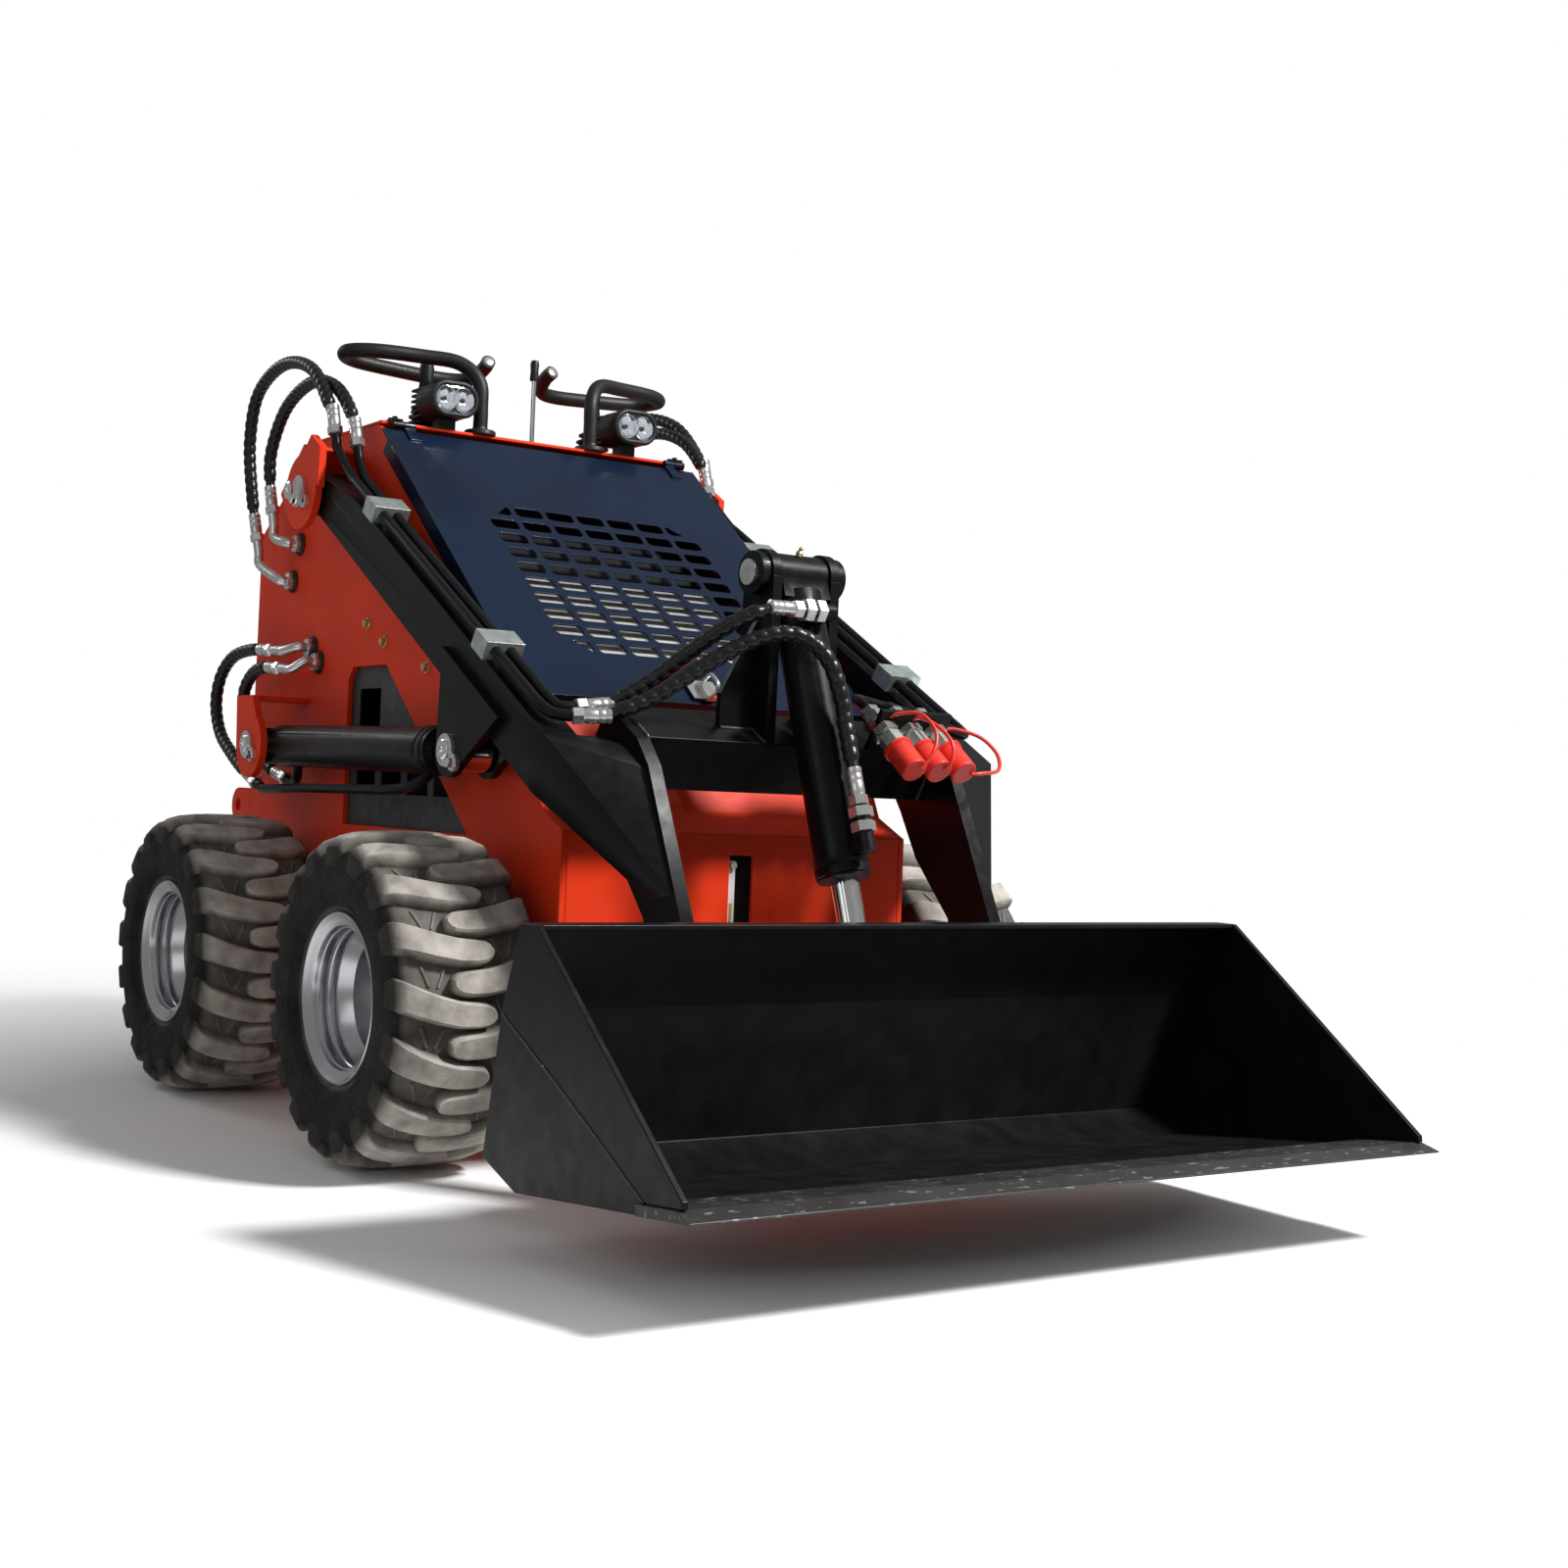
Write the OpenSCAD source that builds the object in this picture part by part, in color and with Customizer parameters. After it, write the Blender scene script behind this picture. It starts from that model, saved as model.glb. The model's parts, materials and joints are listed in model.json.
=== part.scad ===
// Compact skid steer loader with a front bucket, four driven wheels and a walk-behind control deck.
// X runs across the machine, Y from front to rear and Z up from the ground.
// Outlines are drawn as [y, z] points measured from the ground under the front axle.

/* [Wheels] */
// Diameter of a tyre over its lugs
tyre_d = 458; // [440:1:470]
// Width of a tyre over its side walls
tyre_w = 216; // [200:1:224]
// Height of the tread lugs
lug_h = 20; // [12:1:24]
// Diameter of the rim over its flanges
rim_d = 231; // [220:1:240]
// Width of the rim over its flanges
rim_w = 186; // [170:1:190]
// Thickness of the rim's wall
rim_t = 5; // [4:0.5:7]
// Distance between the front and the rear axle
wheelbase = 692; // [670:1:720]
// Gap between a side plate and the tyre beside it
tyre_gap = 38; // [34:1:44]
// Diameter of the wheel motor's shaft
shaft_d = 40; // [34:1:46]

/* [Chassis] */
// Width over the two side plates
body_w = 600; // [580:1:604]
// Thickness of the side plates
plate_t = 10; // [8:0.5:12]
// Height of the belly above the ground
belly_z = 130; // [115:1:145]
// Front panel's distance ahead of the front axle
nose_reach = 175; // [165:1:180]
// Rear panel's distance behind the front axle
body_rear = 950; // [935:1:970]
// Thickness of the front, rear and deck sheets
sheet_t = 6; // [4:0.5:8]
// Height of the control deck's underside
deck_z = 1108; // [1100:1:1116]
// Depth of the operator's platform behind the rear panel
platform_depth = 300; // [260:5:340]
// Height of the operator's platform
platform_z = 230; // [210:5:260]

/* [Hood] */
// Length of the hood from its hinge to its front edge
hood_len = 689; // [670:1:692]
// Slope of the closed hood in degrees
hood_slope = 40.4; // [40:0.1:41]
// How far the hood reaches past each side plate
hood_lap = 6; // [5:0.5:8]
// Thickness of the hood's sheet
hood_t = 3; // [2:0.5:4]
// Rows of slots in the grille
grille_rows = 10; // [8:1:10]
// Columns of slots in the grille
grille_columns = 7; // [5:1:7]

/* [Lift arms] */
// Gap between a side plate and the lift arm beside it
arm_gap = 31; // [28:1:36]
// Width of the arm's tube
arm_w = 50; // [44:1:54]
// Depth of the arm's tube
arm_depth = 80; // [70:1:84]
// Slope of the lowered arm in degrees
arm_slope = 30.7; // [30:0.1:31.5]
// Thickness of the arm's lower plates
cheek_t = 20; // [16:1:22]
// Step inwards from an arm's middle plane to its lower plates
cheek_step = 98; // [92:1:102]
// Diameter of the arm's pivot pins
arm_pin_d = 36; // [30:1:40]
// Diameter of the cylinder and bucket pins
pin_d = 30; // [24:1:32]

/* [Cylinders] */
// Outer diameter of the lift cylinder's barrel
lift_barrel_d = 70; // [60:1:74]
// Diameter of the lift cylinder's rod
lift_rod_d = 40; // [30:1:45]
// Outer diameter of the tilt cylinder's barrel
tilt_barrel_d = 70; // [60:1:74]
// Diameter of the tilt cylinder's rod
tilt_rod_d = 38; // [30:1:45]

/* [Bucket] */
// Width over the bucket's side plates
bucket_w = 1130; // [1000:5:1200]
// Thickness of the bucket's shell
bucket_t = 6; // [5:0.5:10]
// Thickness of the bucket's side plates
bucket_side_t = 8; // [6:0.5:12]
// Length of the bucket's flat floor
floor_len = 343; // [320:1:380]
// Upward slope of the bucket's floor in degrees
curl = 6.2; // [4:0.1:8]
// Thickness of the cutting edge
edge_t = 12; // [10:0.5:16]

/* [Hoses] */
// Diameter of a hose with its spiral guard
hose_d = 21; // [16:0.5:22]
// Diameter of the steel pipes on the arms
pipe_d = 16; // [12:0.5:18]

/* [Hidden] */
$fn = 64;

red = [0.80, 0.13, 0.04];
black = [0.03, 0.03, 0.035];
navy = [0.02, 0.035, 0.07];
zinc = [0.70, 0.71, 0.72];
silver = [0.78, 0.79, 0.80];
dark_grey = [0.12, 0.12, 0.13];
rubber = [0.07, 0.07, 0.07];

// Clearances: a pin in its bore, a rod in its barrel, faces that slide past and bodies that pass
pin_fit = 0.05;
rod_fit = 0.3;
seat_gap = 0.5;
slide_gap = 2;
pass_gap = 5;
hose_gap = 0.3;
paint_gap = 0.05;

// Chassis outlines
half = body_w / 2;
hood_w = body_w + 2 * hood_lap;
track = body_w + 2 * tyre_gap + tyre_w;
inner = half - plate_t;
front_y = -nose_reach;
belly_t = 8;
nose_z = 470;
ledge = [-116, 500];
deck_rear_y = 720;
rear_top_z = 958;
rear_slope = atan2(deck_z - rear_top_z, body_rear - deck_rear_y);
hood_hinge = [441, 1106];
hood_drop = 4;
hood_edge = 26;
deck_front_y = hood_hinge[0] + 13;
hood_seat = hood_drop + hood_t + seat_gap;
hood_under = hood_drop + hood_edge + pass_gap;
hood_foot = hood_len - hood_t - pass_gap - 2;
axle_z = tyre_d / 2;
platform_rear_y = body_rear + platform_depth;

// Pivots of the lift arms, lift cylinders, tilt cylinder and bucket
arm_pivot = [542, 994];
lift_base = [697, 578];
lift_eye = [-11, 572];
tilt_top = [-268, 832];
tilt_eye = [-450, 285];
toe = [-405, 155];
lift_len = norm(lift_eye - lift_base);
tilt_len = norm(tilt_eye - tilt_top);

// Widths along X of the arms and of the ears beside them
arm_x = half + arm_gap + arm_w / 2;
cheek_x = arm_x - cheek_step;
arm_in = arm_x - arm_w / 2;
arm_out = arm_x + arm_w / 2;
ear_t = 12;
arm_below = 15;
arm_boss_r = 36;
arm_len = 905;
pivot_ear_x = arm_out + ear_t / 2;
base_ear_x = arm_x + lift_barrel_d / 2 + pass_gap;
cheek_in = cheek_x - cheek_t / 2;
cheek_out = cheek_x + cheek_t / 2;
cross_s = [840, 925];
cross_h = [8, 88];
tower_gap = tilt_barrel_d / 2 + pass_gap + slide_gap;
tower_t = 15;
tower_boss = 14;
toe_r = 38;
eye_r = 30;
lift_eye_w = arm_w - 2 * pass_gap;
tilt_eye_w = 40;
attach_ear_t = 14;

// Bucket outline in its own frame: u forwards along the floor, v up from it
floor_rear = [-550, 77];
heel = [-74, 34];
back_bend = [-24, 201];
back_top = [22, 297];
top_flange = 35;
side_nose = 8;
edge_depth = 90;
edge_past = 5;
attach_t = 12;
attach_margin = 8;
attach_run = [6, 246];

// Wheel layout
disc_in = 30;
hub_r = 62;
motor_r = 52;
motor_neck_r = 45;
motor_flange = 130;
motor_flange_t = 12;
motor_face = 380;
rear_axle_y = wheelbase;

// Steel pipes along the arms, held by clamp blocks
pipe_x = [arm_x - 11, arm_x + 12];
pipe_h = arm_depth - arm_below + 14;
pipe_run = [70, 800];
clamp_s = [215, 653];
clamp_size = [60, 40, 28];

// Hydraulic ports: [along the cylinder, out from its surface] and the elbow's reach from there
port_d = 24;
upper_port = [75, 20];
upper_port_reach = 40;
lower_port = [400, 22];
lower_port_reach = 50;
upper_port_entry = [for (x = [upper_port_reach + 14, upper_port_reach])
  concat([-x], tilt_pt(upper_port[0], tilt_barrel_d / 2 + upper_port[1]))];
lower_port_entry = [for (s = [115, 60, 0])
  concat([0], tilt_pt(lower_port[0] - lower_port_reach - s, tilt_barrel_d / 2 + lower_port[1]))];

// The whole machine's middle along Y, so that the frame's origin is under its middle
bucket_tip_y = world(floor_len + edge_past, 0)[0];
mid_y = (bucket_tip_y + platform_rear_y) / 2;

// Hose routes on the right side, by hand, as [x, y, z] with x outwards
lift_hose_outer = [[368, 480, 1083], [368, 500, 1125], [366, 590, 1208], [362, 725, 1240], [358, 850, 1210],
  [352, 898, 1130], [346, 890, 1030], [340, 868, 945]];
lift_hose_inner = [[345, 442, 1060], [345, 465, 1112], [345, 535, 1172], [344, 640, 1198], [342, 755, 1172],
  [340, 822, 1105], [338, 826, 1045], [336, 812, 990]];
cylinder_hose_outer = [[345, 760, 745], [350, 850, 748], [356, 930, 735], [362, 975, 690], [366, 960, 625],
  [370, 890, 565], [372, 810, 528], [372, 740, 512]];
cylinder_hose_inner = [[345, 720, 712], [348, 790, 716], [348, 850, 700], [346, 890, 660], [344, 876, 605],
  [342, 820, 560], [342, 750, 535], [342, 680, 522]];
tilt_hose_upper = concat(pipe_exit(pipe_x[0]), [[-302, -230, 646], [-235, -254, 662], [-170, -272, 712],
  [-125, -300, 765], [-90, -332, 782]], upper_port_entry);
tilt_hose_lower = concat(pipe_exit(pipe_x[1]), [[-334, -257, 619], [-265, -280, 634], [-200, -300, 668],
  [-130, -325, 725], [-75, -350, 758], [-28, -370, 742], [-5, -384, 690]], lower_port_entry);

// A bucket point [u, v] in the [y, z] outline frame
function world(u, v) = floor_rear + u * [-cos(curl), sin(curl)] + v * [sin(curl), cos(curl)];
// A point s along the arm from its pivot and h above the pivot's line
function arm_pt(s, h) = arm_pivot + s * [-cos(arm_slope), -sin(arm_slope)] + h * [-sin(arm_slope), cos(arm_slope)];
// A point d down the hood from its hinge and h above the hinge's plane
function hood_pt(d, h) = hood_hinge + d * [-cos(hood_slope), -sin(hood_slope)]
  + h * [-sin(hood_slope), cos(hood_slope)];
// A point s along the tilt cylinder from its top pin and h in front of its axis
function tilt_pt(s, h) = let (d = unit(tilt_eye - tilt_top)) tilt_top + s * d + h * [d[1], -d[0]];
// Where a hose leaves the lower end of the right arm's pipe at x
function pipe_exit(x) = [for (s = [0, 34]) concat([-x], arm_pt(pipe_run[1] + s, pipe_h))];
function unit(v) = v / norm(v);
function left_of(v) = [-v[1], v[0]];
// The corner of a bent sheet's other face, a thickness t to the left of the line p
function mitre(p, i, t) = let (
    a = unit(p[max(i, 1)] - p[max(i, 1) - 1]),
    b = unit(p[min(i, len(p) - 2) + 1] - p[min(i, len(p) - 2)]),
    n = unit(left_of(a) + left_of(b)))
  p[i] + n * t / (n * left_of(a));
function reversed(p) = [for (i = [len(p) - 1:-1:0]) p[i]];
// Outline of a sheet of thickness t bent along the line p
function bent_sheet(p, t) = concat(p, reversed([for (i = [0:len(p) - 1]) mitre(p, i, t)]));

// Tangents and carried normals of a route, for round tubes swept along it
function route_tangent(p, i) = unit(p[min(i + 1, len(p) - 1)] - p[max(i - 1, 0)]);
function flatten(n, t) = unit(n - (n * t) * t);
function route_normals(p) = [for (i = 0, n = flatten([0.3, 0.2, 1], route_tangent(p, 0)); i < len(p);
    i = i + 1, n = flatten(n, route_tangent(p, min(i, len(p) - 1)))) n];

// Round tube along the points p
module tube(p, d, sides) {
  normals = route_normals(p);
  points = [for (i = [0:len(p) - 1], k = [0:sides - 1]) let (
      t = route_tangent(p, i),
      a = 360 * k / sides)
    p[i] + d / 2 * (cos(a) * normals[i] + sin(a) * cross(t, normals[i]))];
  walls = [for (i = [0:len(p) - 2], k = [0:sides - 1]) let (
      a = i * sides + k,
      b = i * sides + (k + 1) % sides)
    each [[a, a + sides, b], [b, a + sides, b + sides]]];
  start = [for (k = [0:sides - 1]) k];
  end = [for (k = [sides - 1:-1:0]) (len(p) - 1) * sides + k];
  polyhedron(points = points, faces = concat(walls, [start, end]));
}

// Points on a smooth curve through the corners p, n steps to a span
function curve_at(a, b, c, d, t) = 0.5 * ((2 * b) + (c - a) * t + (2 * a - 5 * b + 4 * c - d) * t * t
  + (3 * b - a - 3 * c + d) * t * t * t);
function smooth(p, n) = [for (i = [0:len(p) - 2], k = [0:n - 1])
    curve_at(p[max(i - 1, 0)], p[i], p[i + 1], p[min(i + 2, len(p) - 1)], k / n), p[len(p) - 1]];

// Everything is drawn from the front axle and then moved to the frame's origin
module placed() { translate([0, -mid_y, 0]) children(); }
// A flat [y, z] outline given a thickness from x0 to x1
module slab(x0, x1) { translate([x0, 0, 0]) rotate([90, 0, 90]) linear_extrude(x1 - x0) children(); }
module right_side() { mirror([1, 0, 0]) children(); }
module both_sides() { children(); right_side() children(); }
module disc(p, r) { translate(p) circle(r); }
module pin(p, r, x0, x1) { slab(x0, x1) disc(p, r); }
// Local Z along the line from p to q
module aimed(p, q) {
  translate([0, p[0], p[1]]) rotate([atan2(p[0] - q[0], q[1] - p[1]), 0, 0]) children();
}
// Local Y up the hood and local Z out of it, with the origin on the hinge
module on_hood() { translate([0, hood_hinge[0], hood_hinge[1]]) rotate([hood_slope, 0, 0]) children(); }

// Chassis
side_outline = [[front_y, belly_z + 60], [front_y + 60, belly_z], [body_rear - 40, belly_z],
  [body_rear, belly_z + 40], [body_rear, rear_top_z], [deck_rear_y, deck_z], [deck_front_y + 10, deck_z],
  hood_pt(24, -hood_seat), hood_pt(hood_foot, -hood_seat), hood_pt(hood_foot, -hood_under), ledge, [front_y, nose_z]];
vent_outline = [[98, 452], [537, 452], [537, 690], [520, 711], [395, 711]];

module side_plate() {
  difference() {
    slab(inner, half) polygon(side_outline);
    slab(inner - 1, half + 1) polygon(vent_outline);
    pin(arm_pivot, arm_pin_d / 2 + pin_fit, inner - 1, half + 1);
    pin(lift_base, pin_d / 2 + pin_fit, inner - 1, half + 1);
    for (y = [0, rear_axle_y]) pin([y, axle_z], motor_neck_r + pin_fit, inner - 1, half + 1);
  }
}
module side_plate_left() { color(red) placed() side_plate(); }
module side_plate_right() { color(red) placed() right_side() side_plate(); }

module belly_pan() {
  color(red) placed() translate([-inner, front_y + 60, belly_z])
    cube([2 * inner, body_rear - sheet_t - front_y - 60, belly_t]);
}

slot_w = 40;
slot_z = [220, 440];
module front_panel() {
  line = [[front_y, belly_z + 60], [front_y, nose_z], ledge,
    hood_pt(hood_len - hood_t, -hood_under)];
  color(red) placed() difference() {
    slab(-inner, inner) polygon(bent_sheet(line, -sheet_t));
    translate([-slot_w / 2, front_y - 1, slot_z[0]]) cube([slot_w, sheet_t + 2, slot_z[1] - slot_z[0]]);
  }
}

louvre_count = 6;
louvre_pitch = 45;
module rear_panel() {
  top = rear_top_z - sheet_t;
  color(red) placed() difference() {
    translate([-inner, body_rear - sheet_t, belly_z]) cube([2 * inner, sheet_t, top - belly_z]);
    for (i = [0:louvre_count - 1]) translate([-160, body_rear - sheet_t - 1, 500 + i * louvre_pitch])
      cube([320, sheet_t + 2, 14]);
  }
}

deck_line = [[body_rear, rear_top_z], [deck_rear_y, deck_z], [deck_front_y, deck_z]];
module top_deck() { color(red) placed() slab(-half, half) polygon(bent_sheet(deck_line, -sheet_t)); }

module instrument_panel() {
  color(black) placed() translate([0, deck_rear_y, deck_z]) rotate([-rear_slope, 0, 0])
    translate([-180, 40, sheet_t + paint_gap]) cube([360, 170, 8]);
}

// Ears outside the side plates, with the webs that carry them
ear_normal = 51.3;
web_t = 8;
web_reach = 48;
module pivot_ear() {
  slab(pivot_ear_x, pivot_ear_x + ear_t) difference() {
    union() {
      disc(arm_pivot, 62);
      translate(arm_pivot) rotate(ear_normal) translate([0, -62]) square([web_reach + web_t, 116]);
      translate(arm_pivot) polygon([[-70, 0], [-74, 66], [-36, 90], [0, 60]]);
    }
    disc(arm_pivot, arm_pin_d / 2 + pin_fit);
  }
  slab(half, pivot_ear_x) translate(arm_pivot) rotate(ear_normal)
    translate([web_reach, -62]) square([web_t, 116]);
}
module base_ear() {
  slab(base_ear_x, base_ear_x + ear_t) difference() {
    union() {
      disc(lift_base, 56);
      translate(lift_base) polygon([[-56, 0], [-10, 84], [62, 84], [56, 0]]);
    }
    disc(lift_base, pin_d / 2 + pin_fit);
  }
  slab(half, base_ear_x) translate(lift_base) translate([-6, 76]) square([68, web_t]);
}
module pivot_ears() { color(red) placed() both_sides() { pivot_ear(); base_ear(); } }

retainer_t = 6;
module pin_with_retainer(p, r, x0, x1) {
  pin(p, r, x0, x1);
  slab(x1, x1 + retainer_t) difference() {
    union() { disc(p, r + 8); disc(p + [-26, -18], 12); translate(p) rotate(215) translate([0, -12]) square([32, 24]); }
    disc(p + [-26, -18], 4);
  }
}
module pivot_pins() {
  color(zinc) placed() both_sides() {
    pin_with_retainer(arm_pivot, arm_pin_d / 2, inner, pivot_ear_x + ear_t);
    pin_with_retainer(lift_base, pin_d / 2, inner, base_ear_x + ear_t);
  }
}

cover_t = 4;
cover_rim = 14;
module side_cover() {
  slab(inner - cover_t, inner) difference() {
    polygon([[98 - 40, 452 - cover_rim], [537 + cover_rim, 452 - cover_rim], [537 + cover_rim, 711 + cover_rim],
      [388, 711 + cover_rim]]);
    translate([430, 585]) square([80, 90]);
    for (y = [250, 345, 440]) translate([y, 505]) square([72, 40]);
    polygon([[175, 505], [230, 505], [230, 545]]);
  }
}
module side_covers() { color(dark_grey) placed() both_sides() side_cover(); }

engine_size = [380, 400, 400];
engine_y = 110;
engine_z = 270;
rail_w = 40;
fuel_size = [460, 180, 330];
fuel_y = 640;
fuel_z = 430;
module engine() {
  color(dark_grey) placed() {
    translate([-engine_size[0] / 2, engine_y, engine_z]) cube(engine_size);
    both_sides() translate([100, engine_y, belly_z + belly_t])
      cube([rail_w, engine_size[1], engine_z - belly_z - belly_t]);
    translate([-fuel_size[0] / 2, fuel_y, fuel_z]) cube(fuel_size);
    both_sides() translate([100, fuel_y + fuel_size[1] - rail_w, belly_z + belly_t])
      cube([rail_w, rail_w, fuel_z - belly_z - belly_t]);
  }
}

// Finned cooler under the lower half of the grille, on two legs from the engine
cooler_run = [330, 590];
cooler_depth = [45, 80];
fin_pitch = 20;
module oil_cooler() {
  color(silver) placed() {
    on_hood() translate([-190, -cooler_run[1], -cooler_depth[1]]) difference() {
      cube([380, cooler_run[1] - cooler_run[0], cooler_depth[1] - cooler_depth[0]]);
      for (y = [14:fin_pitch:cooler_run[1] - cooler_run[0] - 14])
        translate([12, y, 20]) cube([356, fin_pitch / 2, cooler_depth[1]]);
    }
    both_sides() slab(140, 160) polygon([[engine_y + 60, engine_z + engine_size[2]],
      [engine_y + 100, engine_z + engine_size[2]], hood_pt(430, -cooler_depth[1]), hood_pt(480, -cooler_depth[1])]);
  }
}

tank_size = [300, 190, 330];
tank_gap = 30;
module hydraulic_tank() {
  color(black) placed() translate([-tank_size[0] / 2, front_y + sheet_t + tank_gap, belly_z + belly_t]) cube(tank_size);
}

// Wheel motor through the side plate, with its shaft for the wheel's hub
module wheel_motor() {
  rotate([0, 90, 0]) {
    translate([0, 0, inner - 120]) cylinder(h = 120, r = motor_r);
    translate([0, 0, inner]) cylinder(h = plate_t, r = motor_neck_r);
    translate([0, 0, half]) cylinder(h = motor_face - half, r = motor_r);
    translate([-motor_flange / 2, -motor_flange / 2, half]) cube([motor_flange, motor_flange, motor_flange_t]);
    translate([0, 0, motor_face]) cylinder(h = track / 2 - disc_in + 6 - motor_face, d = shaft_d);
  }
}
module wheel_motors() {
  color(dark_grey) placed() both_sides() for (y = [0, rear_axle_y]) translate([0, y, axle_z]) wheel_motor();
}

// Control deck
handle_d = 25;
handle_route = [[109, 470, deck_z + sheet_t + 2], [109, 470, 1160], [112, 474, 1205], [140, 496, 1237], [200, 520, 1244],
  [280, 540, 1245], [314, 575, 1244], [285, 612, 1241], [200, 616, 1236], [110, 606, 1231], [72, 586, 1234],
  [62, 556, 1248], [64, 534, 1258]];
handle_base = [109, 470];
module handlebars() {
  color(black) placed() both_sides() {
    tube(smooth(handle_route, 3), handle_d, 12);
    translate([handle_base[0], handle_base[1], deck_z + sheet_t]) cylinder(h = 8, r = 27);
  }
}

lamp = [178, 444, 1161];
lamp_size = [88, 60];
lamp_depth = 46;
module stadium(w, h) {
  square([w - h, h], center = true);
  for (s = [-1, 1]) translate([s * (w - h) / 2, 0]) circle(d = h);
}
fin_reach = 38;
module lamp_frame() { translate(lamp) rotate([90, 0, 0]) children(); }
module lamp_bodies() {
  color(black) placed() both_sides() {
    lamp_frame() translate([0, 0, -lamp_depth]) difference() {
      linear_extrude(lamp_depth + 14) stadium(lamp_size[0], lamp_size[1]);
      translate([0, 0, lamp_depth + 4]) linear_extrude(20) stadium(lamp_size[0] - 10, lamp_size[1] - 10);
    }
    for (k = [-2:3]) translate([lamp[0] - lamp_size[0] / 2 + 9, lamp[1] + lamp_depth - 2, lamp[2] + 9 * k - 6.5])
      cube([lamp_size[0] - 18, fin_reach, 4]);
    translate([lamp[0] - 15, lamp[1] + 12, deck_z + sheet_t])
      cube([30, 26, lamp[2] - lamp_size[1] / 2 - deck_z - sheet_t + 2]);
  }
}
module lamp_lenses() {
  color(silver) placed() both_sides() lamp_frame() translate([0, 0, 4]) linear_extrude(8)
    stadium(lamp_size[0] - 10 - seat_gap, lamp_size[1] - 10 - seat_gap);
}

lever = [20, 520];
joystick = [168, 562];
module control_levers() {
  color(black) placed() {
    translate([lever[0], lever[1], deck_z + sheet_t]) {
      cylinder(h = 120, d = 8);
      translate([0, 0, 120]) cylinder(h = 36, d = 16);
    }
    both_sides() translate([joystick[0], joystick[1], deck_z + sheet_t]) {
      cylinder(h = 16, r = 26);
      cylinder(h = 90, d = 10);
      translate([0, 0, 78]) cylinder(h = 54, d = 26);
    }
  }
}

// Platform on two side brackets, with a toe board against the rear panel
bracket_t = 10;
platform_t = 6;
platform_half = 260;
module operator_platform() {
  color(black) placed() {
    translate([-platform_half, body_rear, platform_z]) cube([2 * platform_half, platform_depth, platform_t]);
    translate([-platform_half, body_rear, platform_z + platform_t]) cube([2 * platform_half, platform_t, 90]);
    both_sides() slab(platform_half - bracket_t, platform_half) polygon([[body_rear, platform_z - 70],
      [platform_rear_y - 60, platform_z - 24], [platform_rear_y, platform_z - 10], [platform_rear_y, platform_z],
      [body_rear, platform_z]]);
  }
}

// Round-nosed lashing eyes, two on the front panel and two on the rear
eye_r_out = 32;
eye_bore_r = 12;
eye_t = 16;
eye_x = 200;
eye_reach = 58;
eye_z = [300, 470];
module tie_down_eye(x, z) {
  translate([0, 0, z]) slab(x, x + eye_t) difference() {
    union() {
      disc([eye_reach, 0], eye_r_out);
      translate([0, -eye_r_out]) square([eye_reach, 2 * eye_r_out]);
    }
    disc([eye_reach, 0], eye_bore_r);
  }
}
module tie_down_eyes() {
  color(red) placed() both_sides() {
    translate([0, front_y, 0]) mirror([0, 1, 0]) tie_down_eye(eye_x, eye_z[0]);
    translate([0, body_rear, 0]) tie_down_eye(half - eye_t, eye_z[1]);
  }
}

hinge_r = 7;
hinge_pin_r = 3;
hinge_x = [246, 266, 286];
module hood_hinges() {
  color(black) placed() both_sides() {
    pin(hood_hinge, hinge_r, hinge_x[1] + seat_gap, hinge_x[2]);
    pin(hood_hinge, hinge_pin_r, hinge_x[0], hinge_x[1] + 1);
    translate([hinge_x[1] + seat_gap, hood_hinge[0], deck_z + sheet_t]) cube([hinge_x[2] - hinge_x[1] - seat_gap, 36, 3]);
    slab(hinge_x[1] + seat_gap, hinge_x[2]) polygon([hood_hinge, hood_hinge + [0, hinge_r],
      [deck_front_y - seat_gap, deck_z + sheet_t + 3], [deck_front_y - seat_gap, deck_z]]);
  }
}

// Bulkhead elbows on the side plates
fitting_d = 20;
function elbow(hose, y, z) = smooth([[half, y, z], [half + 14, y, z], [half + 26, y, z], lead_in(hose, 44),
  lead_in(hose, 22), hose[0]], 2);
elbows = [elbow(reversed(lift_hose_outer), 790, 872), elbow(reversed(lift_hose_inner), 765, 936),
  elbow(cylinder_hose_outer, 690, 750), elbow(cylinder_hose_inner, 660, 724)];
module hose_fittings() { color(zinc) placed() both_sides() for (e = elbows) tube(e, fitting_d, 8); }

// Hood with a grille of slots inside an outline whose corners are cut
grille_half_w = 205;
grille_top = 205;
grille_pitch = [58, 39];
grille_slot = [48, 24];
grille_cut = 45;
module slot_shape(w, h, c) {
  polygon([[c, 0], [w - c, 0], [w, c], [w, h - c], [w - c, h], [c, h], [0, h - c], [0, c]]);
}
module grille_slots() {
  w = (grille_columns - 1) * grille_pitch[0] + grille_slot[0];
  h = (grille_rows - 1) * grille_pitch[1] + grille_slot[1];
  translate([-w / 2, -grille_top - h]) intersection() {
    slot_shape(w, h, grille_cut);
    for (i = [0:grille_columns - 1], j = [0:grille_rows - 1])
      translate([i * grille_pitch[0], j * grille_pitch[1]]) slot_shape(grille_slot[0], grille_slot[1], 5);
  }
}
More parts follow.
